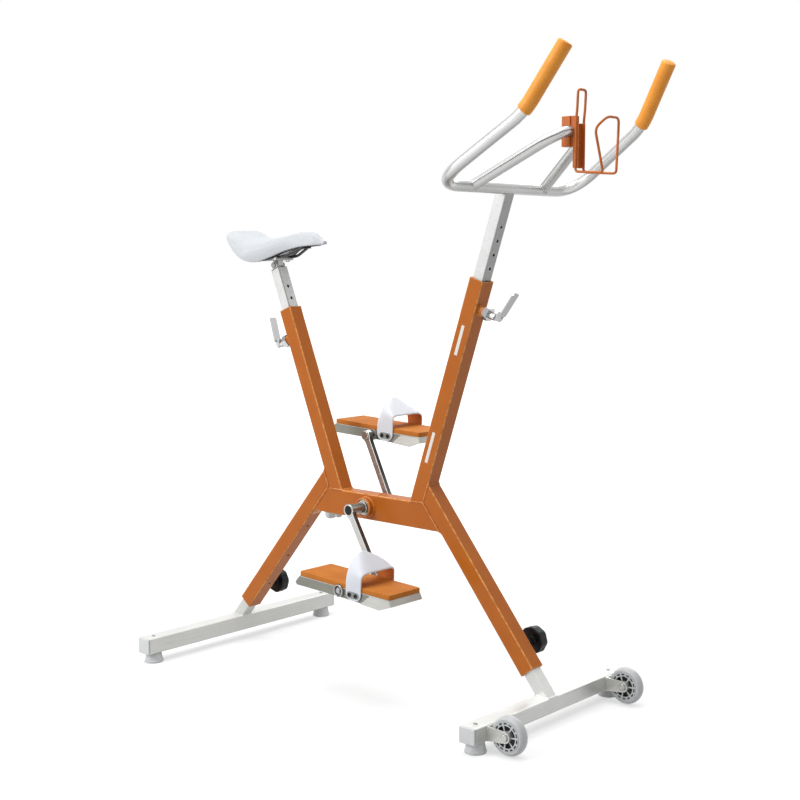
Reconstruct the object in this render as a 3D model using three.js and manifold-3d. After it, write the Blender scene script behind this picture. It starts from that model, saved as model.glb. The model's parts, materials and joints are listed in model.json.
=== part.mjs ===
// Aqua bike for a swimming pool: a tube frame on two cross feet, with a height-adjustable
// saddle and handlebar, a free-turning crank with two strapped foot pedals, two transport
// wheels and a bottle cage. Lengths are millimetres. The ground is z = 0, +X is forward
// and +Y is the rider's left.
import * as THREE from "three";
import { mergeVertices } from "three/addons/utils/BufferGeometryUtils.js";
import { ParametricGeometry } from "three/addons/geometries/ParametricGeometry.js";
import Module from "manifold-3d";

const wasm = await Module();
wasm.setup();

// Clearances shared by every fit.
const WELD_GAP = 0.3;
const SLIDE_GAP = 0.3;
const RUNNING_GAP = 0.2;
const SEAT_GAP = 0.3;
const MERGE_WITHIN = 0.0005;
const TRIM_SIZE = 900;
const OVERCUT = 3;
const UPRIGHT_SHARE = 0.9;

// Frame tubes, measured on the photograph with the 80 mm wheels and 40 mm tube as scale.
const TUBE_WIDTH = 40;
const TUBE_DEPTH = 38;
const TUBE_WALL = 2.5;
const TUBE_CORNER = 4;
const CRANK_HEIGHT = 399;
const BEAM_HEIGHT = 60;
const BEAM_FILLET = 13;
const SEAT_TUBE_FOOT_X = -101.6;
const SEAT_TUBE_LEAN = THREE.MathUtils.degToRad(21.9);
const SEAT_TUBE_LENGTH = 451;
const BAR_TUBE_FOOT_X = 151.8;
const BAR_TUBE_LEAN = THREE.MathUtils.degToRad(18.6);
const BAR_TUBE_LENGTH = 524.4;
const REAR_LEG_RISE = THREE.MathUtils.degToRad(50);
const FRONT_LEG_RISE = THREE.MathUtils.degToRad(51);
const REAR_STEM_SHOWN = 53;
const FRONT_STEM_SHOWN = 58;
const LEG_REACH_UP = 520;
const LEG_HOLE_RADIUS = 4;
const LEG_HOLE_PITCH = 107.5;
const LEG_HOLE_FIRST = 87;
const LEG_HOLES = 3;

// Square posts that slide in plastic sleeves inside the tubes.
const POST_WIDTH = 30;
const POST_DEPTH = 28;
const POST_WALL = 2;
const POST_CORNER = 3;
const SLEEVE_LENGTH = 96;
const SLEEVE_RECESS = 1.5;
const POST_HOLE_RADIUS = 4;
const POST_HOLE_PITCH = 30.5;
const SEAT_HOLES_BELOW = 3;
const SEAT_HOLES_ABOVE = 4;
const BAR_HOLES_BELOW = 3;
const BAR_HOLES_ABOVE = 6;
const SEAT_POST_SHOWN = 104;
const SEAT_POST_INSERT_LENGTH = 175;
const BAR_POST_SHOWN = 190;
const BAR_POST_INSERT_LENGTH = 250;
const STEM_INSERT_LENGTH = 180;

// Index locks: a welded boss, a hexagon barrel, the pin inside it and a rocking lever.
const SEAT_LOCK_DROP = 68.5;
const BAR_LOCK_DROP = 64;
const BOSS_RADIUS = 12;
const BOSS_LENGTH = 14;
const HEX_ACROSS = 27;
const HEX_LENGTH = 13;
const BARREL_RADIUS = 8;
const BARREL_LENGTH = 15;
const BARREL_BORE = 5.2;
const BARREL_TONGUE = 6;
const TONGUE_HEIGHT = 12;
const TONGUE_CORNER = 1.5;
const LOCK_PIVOT_OFFSET = 51;
const LOCK_PIN_RADIUS = 3.2;
const LOCK_PIN_COLLAR = 4.9;
const LOCK_PIN_LENGTH = 28;
const LOCK_PIN_BORE = 3.6;
const LEVER_LENGTH = 62;
const LEVER_WIDTH = 20;
const LEVER_THICKNESS = 3;
const LEVER_EYE_RADIUS = 5.5;
const LEVER_CHEEK = 2.6;
const LEVER_PIVOT_RADIUS = 2.5;
const LEVER_TIP_RADIUS = 6;
const SEAT_LEVER_LEAN = THREE.MathUtils.degToRad(-16.4);
const BAR_LEVER_LEAN = THREE.MathUtils.degToRad(37.4);

// Cross feet, end caps and rubber pads.
const REAR_FOOT_X = -458.9;
const REAR_FOOT_LENGTH = 630;
const REAR_FOOT_HEIGHT = 38;
const REAR_PAD_HEIGHT = 24;
const REAR_PAD_INSET = 31;
const FRONT_FOOT_X = 498;
const FRONT_FOOT_LENGTH = 530;
const FRONT_FOOT_HEIGHT = 34;
const FRONT_PAD_HEIGHT = 22.5;
const FRONT_PAD_INSET = 29;
const FOOT_WIDTH = 40;
const FOOT_WALL = 2.5;
const FOOT_CORNER = 3;
const CAP_FLANGE = 5;
const CAP_PLUG = 16;
const CAP_PLUG_WALL = 2.5;
const CAP_BEVEL = 1.5;
const PAD_TOP_RADIUS = 18;
const PAD_BASE_RADIUS = 22.5;
const PAD_EDGE = 4;
const PAD_STUB_RADIUS = 5;
const PAD_STUB_HEIGHT = 9;

// Transport wheels and their forks.
const WHEEL_RADIUS = 40;
const WHEEL_WIDTH = 24;
const WHEEL_LIFT = 1.5;
const TYRE_FLAT = 4;
const WHEEL_AXLE_OFFSET = 64.5;
const WHEEL_INSET = 55;
const HUB_RADIUS = 26;
const HUB_WIDTH = 21;
const HUB_RIM = 3.4;
const HUB_BOSS_RADIUS = 10.5;
const HUB_WEB = 9;
const HUB_OVERLAP = 1;
const SPOKE_COUNT = 5;
const SPOKE_HALF_WIDTH = 2;
const AXLE_RADIUS = 4;
const FORK_PLATE = 3;
const FORK_PLAY = 2;
const FORK_HEIGHT = 30;
const FORK_EYE_RADIUS = 12;
const BOLT_HEAD_RADIUS = 6.5;
const BOLT_HEAD_HEIGHT = 4;

// Clamping knobs of the two legs.
const KNOB_RADIUS = 27;
const KNOB_THICKNESS = 22;
const KNOB_BEVEL = 3;
const KNOB_NECK_RADIUS = 11;
const KNOB_NECK_LENGTH = 16;
const KNOB_STUD_RADIUS = 5;
const KNOB_FLUTES = 8;
const KNOB_FLUTE_DEPTH = 1.3;
const KNOB_UP_LEG = 62;
const KNOB_STUD_PLAY = 0.4;

// Crank, bearings and pedals.
const SHELL_RADIUS = 22;
const SHELL_BORE = 18.5;
const SHELL_LENGTH = 68;
const CUP_FLANGE_RADIUS = 20.5;
const CUP_FLANGE = 3;
const CUP_DEPTH = 15;
const SPINDLE_RADIUS = 9;
const SPINDLE_SQUARE = 12;
const SPINDLE_CORNER = 1.5;
const CRANK_FACE_Y = 81;
const CRANK_THICKNESS = 13;
const CRANK_EYE_RADIUS = 14.2;
const CRANK_PEDAL_RADIUS = 13;
const CRANK_LENGTH = 172.5;
const CRANK_ANGLE = THREE.MathUtils.degToRad(-60);
const CRANK_WAIST = 8.2;
const CRANK_WAIST_START = 21.3;
const CRANK_NECK = 10.4;
const CRANK_EYE_TURN_SHARE = 0.7;
const CRANK_PEDAL_TURN_SHARE = 1.3;
const CRANK_BEVEL = 1.2;
const CRANK_CAP_RADIUS = 10.4;
const CRANK_CAP_DEPTH = 4;
const PEDAL_INNER_Y = 98;
const PEDAL_WIDTH = 100;
const PEDAL_BACK = 127;
const PEDAL_FRONT = 136;
const PEDAL_TILT = THREE.MathUtils.degToRad(3.6);
const PEDAL_CORNER = 9;
const PEDAL_PAD_TOP = 16;
const PEDAL_PAD_THICKNESS = 8;
const TRAY_DEPTH = 25;
const TRAY_WALL = 2;
const TRAY_END_SLOPE = 11;
const TRAY_SIDE_SLOPE = 2;
const PEDAL_AXLE_RADIUS = 5;
const PEDAL_TUBE_RADIUS = 7.2;
const PEDAL_COLLAR_RADIUS = 8;
const PEDAL_BOSS_RADIUS = 13;
const PEDAL_BOSS_LENGTH = 7;

// Foot straps: a high heel-side arch that slopes down to a low toe-side arch.
const STRAP_THICKNESS = 3;
const STRAP_BACK_X = 23;
const STRAP_FRONT_X = 67;
const STRAP_BACK_TOP = 82;
const STRAP_FRONT_TOP = 49;
const STRAP_LUG_DROP = 8;
const STRAP_SQUARENESS = 3.2;
const STRAP_ROUNDNESS = 2.1;
const STRAP_STEPS = 20;
const STRAP_ACROSS_STEPS = 3;
const STRAP_LEG_SHARE = 0.1;

// Saddle, from a side view of its outline.
const SADDLE_REAR_OFFSET = 129;
const SADDLE_LENGTH = 290;
const SADDLE_PAD = 13;
const SADDLE_SHELL = 3;
const SADDLE_TOP_RISES = [37, 59, 69, 67, 55, 50, 55, 61, 63, 55, 39];
const SADDLE_EDGE_RISES = [33, 15, -1, -9, -9, 5, 22, 34, 38, 37, 36];
const SADDLE_HALF_WIDTHS = [20, 66, 84, 86, 76, 56, 39, 29, 25, 22, 8];
const SADDLE_SECTION_POWER = 2.5;
const SADDLE_TUCK_SHARE = 0.08;
const SADDLE_RINGS = 15;
const SADDLE_AROUND = 18;
const SADDLE_END_STEPS = 2;
const SADDLE_BASE_STEPS = 11;
const SOCKET_WALL = 4;
const SOCKET_DEPTH = 9;
const RAIL_RADIUS = 3.5;
const RAIL_REAR_BEND = 10.5;
const RAIL_MIDDLE_BEND = 14;
const RAIL_NOSE_BEND = 7;
const RAIL_Y = 21;
const RAIL_OVER_PIVOT = 14.7;
const RAIL_REAR_OFFSET = 80;
const RAIL_BACK_BEND_OFFSET = 63;
const RAIL_FRONT_BEND_OFFSET = 62;
const RAIL_NOSE_OFFSET = 98;
const RAIL_RISE = 8;
const RAIL_REAR_RISE = 23;
const RAIL_NOSE_RISE = 29;
const RAIL_REAR_Y = 33;
const RAIL_NOSE_Y = 9;
const CRADLE_LENGTH = 50;
const CRADLE_THICKNESS = 8;
const CLAMP_PLATE_THICKNESS = 5;
const CLAMP_PLATE_LENGTH = 35;
const CLAMP_PLATE_SIDE = 4.5;
const CRADLE_SIDE = 7;
const PIVOT_RADIUS = 4;
const PIVOT_EYE_RADIUS = 9;
const PIVOT_LUG_HALF = 8;
const PIVOT_EAR = 5;

// Handlebar: one bent bar with a narrowing loop welded on it.
const BAR_RADIUS = 12;
const BAR_WALL = 1.8;
const BAR_COPE_DEPTH = 4;
const BAR_RUN_RISE = 9.84;
const BAR_RUN_AHEAD = 4.43;
const BAR_CORNER_Y = 244;
const BAR_BEND = 62;
const GRIP_START = [188, 203.8, 127.4];
const GRIP_END = [261.2, 180.7, 252];
const GRIP_BEND = 30;
const GRIP_RADIUS = 15;
const GRIP_END_WALL = 3;
const LOOP_RADIUS = 11;
const LOOP_BASE_Y = 121;
const LOOP_SHOULDER = [137.8, 55.7, 88.6];
const LOOP_APEX_AHEAD = 160;
const LOOP_APEX_RISE = 107;
const LOOP_BEND = 40;
const BRACKET_THICKNESS = 4;
const BRACKET_DROP = 26;
const BRACKET_WIDTH = 26;

// Bottle cage and its two-part clamp on the loop.
const CLAMP_WIDTH = 20;
const CLAMP_HEIGHT = 60;
const CLAMP_REAR_DEPTH = 20;
const CLAMP_SPLIT = 1;
const CLAMP_SCREW_RADIUS = 4.5;
const CLAMP_SCREW_HEIGHT = 4;
const CLAMP_SCREW_OFFSET = 20.5;
const CAGE_PLATE_WIDTH = 34;
const CAGE_PLATE_HEIGHT = 88;
const CAGE_PLATE_DEPTH = 13;
const CAGE_PLATE_WALL = 2.5;
const CAGE_PLATE_DROP = 40;
const WIRE_RADIUS = 2.6;
const WIRE_BEND = 7.8;
const WIRE_WIDE_BEND = 12.5;
const WIRE_NECK_LOW = 5.2;
const WIRE_NECK_HIGH = 20.8;
const CAGE_HOOP_RISE = 81;
const CAGE_HOOP_Y = 13;
const CAGE_FLOOR_BELOW = 7.5;
const CAGE_FLOOR_FALL = 4;
const CAGE_FRONT_REACH = 84;
const CAGE_FOOT_Y = 23;
const CAGE_SHOULDER_REACH = 71;
const CAGE_SHOULDER_Y = 40;
const CAGE_SHOULDER_RISE = 80;
const CAGE_ARCH_REACH = 90;
const CAGE_ARCH_Y = 24;
const CAGE_ARCH_RISE = 104;

// Drain plug under the beam.
const PLUG_X = -134;
const PLUG_RADIUS = 13;
const PLUG_DROP = 17;
const PLUG_SMALL_RADIUS = 8;
const PLUG_SMALL_X = -110;
const PLUG_SMALL_DROP = 12;
const PLUG_PLATE = 3;
const PLUG_DOME_SHARES = [[1, 0.35], [0.85, 0.75], [0.5, 0.96]];

const ROUND = 24;
const FINE = 16;
const COARSE = 12;
const HOLE_SIDES = 8;
const HEX_SIDES = 6;
const BORE_SIDES = 6;
const PAD_SIDES = 12;
const WIRE_SIDES = 6;
const BAR_SIDES = 12;
const ARC = 1;
const SMOOTH_ARC = 3;
const TREAD_STEPS = 4;
const FLUTE_STEPS = 4;
const TRAY_ARC = 1;
const BEND_STEPS = 4;
const WIRE_BEND_STEPS = 2;

const FINISHES = {
  orange: { color: 0xc8702f, metalness: 0.2, roughness: 0.42 },
  brightOrange: { color: 0xe0872a, metalness: 0.0, roughness: 0.5 },
  steel: { color: 0xc9cbcc, metalness: 0.9, roughness: 0.3 },
  satin: { color: 0xb4b5b0, metalness: 0.8, roughness: 0.45 },
  chrome: { color: 0xdcdee0, metalness: 1.0, roughness: 0.15 },
  black: { color: 0x1a1b1c, metalness: 0.0, roughness: 0.5 },
  palePlastic: { color: 0xd5d7d9, metalness: 0.0, roughness: 0.45 },
  white: { color: 0xe8eaee, metalness: 0.0, roughness: 0.55 },
  wheelGrey: { color: 0x9a9c9e, metalness: 0.0, roughness: 0.4 },
  copper: { color: 0xa9602f, metalness: 0.5, roughness: 0.4 },
};

const ACROSS = new THREE.Vector3(0, 1, 0);
const UP = new THREE.Vector3(0, 0, 1);
const FORWARD = new THREE.Vector3(1, 0, 0);
const SIDES = [
  { name: "left", sign: 1 },
  { name: "right", sign: -1 },
];

const at = (x, y, z) => new THREE.Vector3(x, y, z);

// A closed manifold from any three.js geometry, with its faces turned outward.
function solid(geometry) {
  const bare = geometry.clone();
  bare.deleteAttribute("normal");
  bare.deleteAttribute("uv");
  const merged = mergeVertices(bare, MERGE_WITHIN);
  const index = merged.index.array;
  const faces = [];
  for (let i = 0; i < index.length; i += 3) {
    const [a, b, c] = [index[i], index[i + 1], index[i + 2]];
    if (a !== b && b !== c && c !== a) faces.push(a, b, c);
  }
  const points = new Float32Array(merged.attributes.position.array);
  const build = (triangles) => new wasm.Manifold(
    new wasm.Mesh({ numProp: 3, vertProperties: points, triVerts: new Uint32Array(triangles) }),
  );
  const body = build(faces);
  if (body.volume() > 0) return body;
  const turned = [];
  for (let i = 0; i < faces.length; i += 3) turned.push(faces[i], faces[i + 2], faces[i + 1]);
  return build(turned);
}

function meshOf(name, body, finish) {
  const data = body.getMesh();
  const geometry = new THREE.BufferGeometry();
  geometry.setAttribute("position", new THREE.BufferAttribute(data.vertProperties, 3));
  geometry.setIndex(new THREE.BufferAttribute(data.triVerts, 1));
  geometry.computeVertexNormals();
  const mesh = new THREE.Mesh(geometry, new THREE.MeshStandardMaterial(FINISHES[finish]));
  mesh.name = name;
  return mesh;
}

// Puts a geometry's own X, Y and Z on the given directions at the given origin.
function placed(geometry, origin, ownX, ownZ) {
  const ownY = ownZ.clone().cross(ownX);
  const matrix = new THREE.Matrix4().makeBasis(ownX, ownY, ownZ).setPosition(origin);
  return geometry.clone().applyMatrix4(matrix);
}

function roundedRectangle(wide, tall, corner) {
  const shape = new THREE.Shape();
  const [x, y] = [wide / 2 - corner, tall / 2 - corner];
  const quarter = Math.PI / 2;
  shape.absarc(x, y, corner, 0, quarter);
  shape.absarc(-x, y, corner, quarter, 2 * quarter);
  shape.absarc(-x, -y, corner, 2 * quarter, 3 * quarter);
  shape.absarc(x, -y, corner, 3 * quarter, 4 * quarter);
  shape.closePath();
  return shape;
}

function rectangle(wide, tall) {
  const [x, y] = [wide / 2, tall / 2];
  return new THREE.Shape([[x, -y], [x, y], [-x, y], [-x, -y]].map(([u, v]) => new THREE.Vector2(u, v)));
}

function prism(shape, length, origin, ownX, ownZ, bevel = 0, arc = ARC) {
  const geometry = new THREE.ExtrudeGeometry(shape, {
    depth: length - 2 * bevel,
    bevelEnabled: bevel > 0,
    bevelThickness: bevel,
    bevelSize: bevel,
    bevelOffset: -bevel,
    bevelSegments: 1,
    curveSegments: arc,
  });
  geometry.translate(0, 0, bevel);
  return solid(placed(geometry, origin, ownX, ownZ));
}

function block(from, to) {
  const size = to.clone().sub(from);
  const geometry = new THREE.BoxGeometry(Math.abs(size.x), Math.abs(size.y), Math.abs(size.z));
  const middle = from.clone().add(to).divideScalar(2);
  return solid(geometry.translate(middle.x, middle.y, middle.z));
}

function rod(radius, from, to, segments = FINE) {
  const span = to.clone().sub(from);
  const geometry = new THREE.CylinderGeometry(radius, radius, span.length(), segments);
  geometry.rotateX(Math.PI / 2);
  const along = span.clone().normalize();
  const helper = Math.abs(along.y) > UPRIGHT_SHARE ? FORWARD : ACROSS;
  const ownX = helper.clone().cross(along).normalize();
  return solid(placed(geometry, from.clone().add(to).divideScalar(2), ownX, along));
}

// A turned piece: profile pairs are radius and distance along the axis from the origin.
function turned(profile, origin, along, segments = ROUND) {
  const points = profile.map(([radius, distance]) => new THREE.Vector2(radius, distance));
  const geometry = new THREE.LatheGeometry(points, segments);
  geometry.rotateX(Math.PI / 2);
  const helper = Math.abs(along.y) > UPRIGHT_SHARE ? FORWARD : ACROSS;
  const ownX = helper.clone().cross(along).normalize();
  return solid(placed(geometry, origin, ownX, along));
}

function ring(inner, outer, length, origin, along, segments = ROUND) {
  const profile = [[inner, 0], [outer, 0], [outer, length], [inner, length], [inner, 0]];
  return turned(profile, origin, along, segments);
}

// A path given by stations, so that straight runs take one step and bends take a few.
class StationPath extends THREE.Curve {
  constructor(stations) {
    super();
    this.stations = stations;
  }

  getPointAt(share) {
    return this.stations[Math.round(share * (this.stations.length - 1))].clone();
  }

  getTangentAt(share) {
    const last = this.stations.length - 1;
    const i = Math.round(share * last);
    const before = this.stations[i].clone().sub(this.stations[Math.max(i - 1, 0)]).normalize();
    const after = this.stations[Math.min(i + 1, last)].clone().sub(this.stations[i]).normalize();
    return before.add(after).normalize();
  }
}

// Stations along corner-rounded runs: each corner becomes a quadratic bend of a few steps.
function bentPath(points, bends, steps = BEND_STEPS) {
  const stations = [points[0]];
  for (let i = 1; i < points.length - 1; i += 1) {
    const corner = points[i];
    const before = points[i - 1].clone().sub(corner).normalize();
    const after = points[i + 1].clone().sub(corner).normalize();
    const start = corner.clone().addScaledVector(before, bends[i - 1]);
    const end = corner.clone().addScaledVector(after, bends[i - 1]);
    const turning = Math.min(1, Math.PI - before.angleTo(after));
    const count = Math.max(2, Math.round(steps * turning));
    stations.push(...new THREE.QuadraticBezierCurve3(start, corner, end).getPoints(count));
  }
  stations.push(points[points.length - 1]);
  return new StationPath(stations);
}

function polygon(radius, sides) {
  const points = [];
  for (let i = 0; i < sides; i += 1) {
    const angle = (i * 2 * Math.PI) / sides;
    points.push(new THREE.Vector2(radius * Math.cos(angle), radius * Math.sin(angle)));
  }
  return points;
}

// Sweeps a round bar, or a round tube when it has a bore, along a station path.
function sweep(path, radius, sides, bore = 0) {
  const shape = new THREE.Shape(polygon(radius, sides));
  if (bore > 0) shape.holes.push(new THREE.Path(polygon(bore, BORE_SIDES).reverse()));
  const geometry = new THREE.ExtrudeGeometry(shape, {
    steps: path.stations.length - 1,
    extrudePath: path,
    bevelEnabled: false,
  });
  return solid(geometry);
}

// A closed loft: sectionAt(along, around) gives points of rings, and both ends close flat.
function loft(sectionAt, rings, around) {
  const middles = [0, 1].map((along) => {
    const sum = new THREE.Vector3();
    for (let i = 0; i < around; i += 1) sum.add(sectionAt(along, i / around));
    return sum.divideScalar(around);
  });
  const geometry = new ParametricGeometry((u, v, target) => {
    const row = Math.round(v * (rings + 2));
    if (row === 0) return target.copy(middles[0]);
    if (row === rings + 2) return target.copy(middles[1]);
    const turn = Math.round(u * around) % around;
    return target.copy(sectionAt((row - 1) / rings, turn / around));
  }, around, rings + 2);
  return solid(geometry);
}

// Value at a share of the way along a row of evenly spaced sizes, smoothly joined.
function smoothRow(sizes, share) {
  const place = THREE.MathUtils.clamp(share, 0, 1) * (sizes.length - 1);
  const low = Math.min(Math.floor(place), sizes.length - 2);
  const t = place - low;
  const pick = (i) => sizes[THREE.MathUtils.clamp(i, 0, sizes.length - 1)];
  const [p0, p1, p2, p3] = [pick(low - 1), pick(low), pick(low + 1), pick(low + 2)];
  const slope1 = (p2 - p0) / 2;
  const slope2 = (p3 - p1) / 2;
  const t2 = t * t;
  const t3 = t2 * t;
  return (2 * t3 - 3 * t2 + 1) * p1 + (t3 - 2 * t2 + t) * slope1
    + (3 * t2 - 2 * t3) * p2 + (t3 - t2) * slope2;
}

// An axis in the bike's middle plane, with a normal that points forward.
function planeAxis(origin, direction) {
  const along = direction.clone().normalize();
  const ahead = at(along.z, 0, -along.x);
  if (ahead.x < 0) ahead.negate();
  return { origin, along, ahead, point: (distance) => origin.clone().addScaledVector(along, distance) };
}

function squareBar(axis, from, to, width, depth, corner) {
  const shape = roundedRectangle(depth, width, corner);
  return prism(shape, to - from, axis.point(from), axis.ahead, axis.along);
}

function squareHollow(axis, from, to, width, depth) {
  const length = to - from + 2 * OVERCUT;
  return prism(rectangle(depth, width), length, axis.point(from - OVERCUT), axis.ahead, axis.along);
}

function squareTube(axis, from, to, width, depth, corner, wall) {
  const outer = squareBar(axis, from, to, width, depth, corner);
  return outer.subtract(squareHollow(axis, from, to, width - 2 * wall, depth - 2 * wall));
}

// A big block on the far side of a plane, used to trim a tube's end square or mitred.
function farSide(point, normal) {
  const away = normal.clone().normalize();
  const helper = Math.abs(away.y) > UPRIGHT_SHARE ? FORWARD : ACROSS;
  const ownX = helper.clone().cross(away).normalize();
  const shape = new THREE.Shape();
  const half = TRIM_SIZE / 2;
  shape.moveTo(-half, -half);
  shape.lineTo(half, -half);
  shape.lineTo(half, half);
  shape.lineTo(-half, half);
  shape.closePath();
  return prism(shape, TRIM_SIZE, point, ownX, away);
}

const BEAM_TOP = CRANK_HEIGHT + BEAM_HEIGHT / 2;
const BEAM_BOTTOM = CRANK_HEIGHT - BEAM_HEIGHT / 2;
const REAR_FOOT_TOP = REAR_PAD_HEIGHT + REAR_FOOT_HEIGHT;
const FRONT_FOOT_TOP = FRONT_PAD_HEIGHT + FRONT_FOOT_HEIGHT;

const seatAxis = planeAxis(
  at(SEAT_TUBE_FOOT_X, 0, BEAM_TOP), at(-Math.sin(SEAT_TUBE_LEAN), 0, Math.cos(SEAT_TUBE_LEAN)),
);
const barAxis = planeAxis(
  at(BAR_TUBE_FOOT_X, 0, BEAM_TOP), at(Math.sin(BAR_TUBE_LEAN), 0, Math.cos(BAR_TUBE_LEAN)),
);
const rearLegAxis = planeAxis(
  at(REAR_FOOT_X, 0, REAR_FOOT_TOP), at(Math.cos(REAR_LEG_RISE), 0, Math.sin(REAR_LEG_RISE)),
);
const frontLegAxis = planeAxis(
  at(FRONT_FOOT_X, 0, FRONT_FOOT_TOP), at(-Math.cos(FRONT_LEG_RISE), 0, Math.sin(FRONT_LEG_RISE)),
);

// Cross bore for a lock pin through a tube wall, its boss and the sleeve behind it.
function lockLine(axis, tubeLength, drop, side) {
  const origin = axis.point(tubeLength - drop);
  const out = axis.ahead.clone().multiplyScalar(side);
  return { origin, out, point: (distance) => origin.clone().addScaledVector(out, distance) };
}

const seatLock = lockLine(seatAxis, SEAT_TUBE_LENGTH, SEAT_LOCK_DROP, -1);
const barLock = lockLine(barAxis, BAR_TUBE_LENGTH, BAR_LOCK_DROP, 1);
const BOSS_END = TUBE_DEPTH / 2 + BOSS_LENGTH;
const LOCK_PIVOT = TUBE_DEPTH / 2 + LOCK_PIVOT_OFFSET;

function uprightTube(axis, length, lock) {
  const outer = squareBar(axis, -TUBE_DEPTH, length, TUBE_WIDTH, TUBE_DEPTH, TUBE_CORNER);
  const boss = rod(BOSS_RADIUS, lock.point(TUBE_DEPTH / 2 - TUBE_WALL), lock.point(BOSS_END));
  const hollow = squareHollow(
    axis, -TUBE_DEPTH, length, TUBE_WIDTH - 2 * TUBE_WALL, TUBE_DEPTH - 2 * TUBE_WALL,
  );
  const bore = rod(BARREL_BORE, lock.point(0), lock.point(BOSS_END + OVERCUT), COARSE);
  const below = farSide(at(axis.origin.x, 0, BEAM_TOP + WELD_GAP), UP.clone().negate());
  return outer.add(boss).subtract(hollow).subtract(bore).subtract(below);
}

// X of the leg faces that the beam butts against, at a given height.
function rearFaceX(z) {
  const point = rearLegAxis.origin.clone().addScaledVector(rearLegAxis.ahead, TUBE_DEPTH / 2 + WELD_GAP);
  return point.x + (z - point.z) / Math.tan(REAR_LEG_RISE);
}

function frontFaceX(z) {
  const point = frontLegAxis.origin.clone().addScaledVector(
    frontLegAxis.ahead, -TUBE_DEPTH / 2 - WELD_GAP,
  );
  return point.x - (z - point.z) / Math.tan(FRONT_LEG_RISE);
}

function beamOutline() {
  const shape = new THREE.Shape();
  shape.moveTo(rearFaceX(BEAM_TOP), BEAM_TOP);
  shape.lineTo(rearFaceX(BEAM_BOTTOM), BEAM_BOTTOM);
  shape.lineTo(frontFaceX(BEAM_BOTTOM), BEAM_BOTTOM);
  shape.lineTo(frontFaceX(BEAM_TOP), BEAM_TOP);
  shape.closePath();
  return shape;
}

// The weld fillet in the corner between the beam's underside and a leg.
function filletOutline(faceX, inward) {
  const high = BEAM_BOTTOM + TUBE_WALL / 2;
  const low = BEAM_BOTTOM - BEAM_FILLET;
  const tip = faceX(BEAM_BOTTOM) + inward * BEAM_FILLET;
  const shape = new THREE.Shape();
  shape.moveTo(faceX(high), high);
  shape.lineTo(faceX(low), low);
  shape.quadraticCurveTo(faceX(BEAM_BOTTOM), BEAM_BOTTOM, tip, BEAM_BOTTOM);
  shape.lineTo(tip, high);
  shape.closePath();
  return shape;
}

// Extrudes a side-view outline (x, z) across the bike, centred on the given y.
function acrossPrism(shape, width, middle) {
  const origin = at(0, middle + width / 2, 0);
  return prism(shape, width, origin, FORWARD, ACROSS.clone().negate(), 0, SMOOTH_ARC);
}

function crossBeam() {
  const section = roundedRectangle(BEAM_HEIGHT, TUBE_WIDTH, TUBE_CORNER);
  const bar = prism(section, TRIM_SIZE, at(-TRIM_SIZE / 2, 0, CRANK_HEIGHT), UP, FORWARD);
  const filletWidth = TUBE_WIDTH - 2 * TUBE_CORNER;
  const outer = acrossPrism(beamOutline(), TUBE_WIDTH, 0).intersect(bar)
    .add(acrossPrism(filletOutline(rearFaceX, 1), filletWidth, 0))
    .add(acrossPrism(filletOutline(frontFaceX, -1), filletWidth, 0));
  const innerHalf = TUBE_WIDTH / 2 - TUBE_WALL;
  const hollow = block(
    at(-TRIM_SIZE / 2, -innerHalf, BEAM_BOTTOM + TUBE_WALL),
    at(TRIM_SIZE / 2, innerHalf, BEAM_TOP - TUBE_WALL),
  );
  const reach = SHELL_LENGTH;
  const shellHole = rod(
    SHELL_RADIUS + WELD_GAP, at(0, -reach, CRANK_HEIGHT), at(0, reach, CRANK_HEIGHT), ROUND,
  );
  return outer.subtract(hollow).subtract(shellHole);
}

// A leg: mitred against its upright tube, open at the foot, with drain holes underneath.
function leg(axis, shown, uprightAxis, uprightSide, holeSide) {
  const tube = squareTube(axis, shown, LEG_REACH_UP, TUBE_WIDTH, TUBE_DEPTH, TUBE_CORNER, TUBE_WALL);
  const facing = uprightAxis.ahead.clone().multiplyScalar(uprightSide);
  const mitrePoint = uprightAxis.origin.clone().addScaledVector(facing, TUBE_DEPTH / 2 + WELD_GAP);
  let body = tube.subtract(farSide(mitrePoint, facing.clone().negate()));
  for (let i = 0; i < LEG_HOLES; i += 1) {
    const middle = axis.point(shown + LEG_HOLE_FIRST + i * LEG_HOLE_PITCH);
    const out = axis.ahead.clone().multiplyScalar(holeSide);
    const start = middle.clone().addScaledVector(out, TUBE_DEPTH / 2 - TUBE_WALL - OVERCUT);
    const end = middle.clone().addScaledVector(out, TUBE_DEPTH / 2 + OVERCUT);
    body = body.subtract(rod(LEG_HOLE_RADIUS, start, end, COARSE));
  }
  const knob = axis.point(shown + KNOB_UP_LEG);
  const bore = KNOB_STUD_RADIUS + KNOB_STUD_PLAY;
  const far = knob.clone().addScaledVector(ACROSS, TUBE_WIDTH);
  return body.subtract(rod(bore, knob, far, COARSE));
}

function sleeve(axis, mouth, inward) {
  const from = mouth + inward * SLEEVE_RECESS;
  const to = mouth + inward * SLEEVE_LENGTH;
  const [low, high] = [Math.min(from, to), Math.max(from, to)];
  const wall = TUBE_WALL + SLIDE_GAP;
  const outer = squareBar(
    axis, low, high, TUBE_WIDTH - 2 * wall, TUBE_DEPTH - 2 * wall, TUBE_CORNER - TUBE_WALL,
  );
  const inner = squareHollow(
    axis, low, high, POST_WIDTH + 2 * SLIDE_GAP, POST_DEPTH + 2 * SLIDE_GAP,
  );
  return outer.subtract(inner);
}

function boredSleeve(axis, tubeLength, lock) {
  const bore = rod(LOCK_PIN_BORE, lock.point(0), lock.point(TUBE_DEPTH), COARSE);
  return sleeve(axis, tubeLength, -1).subtract(bore);
}

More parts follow.
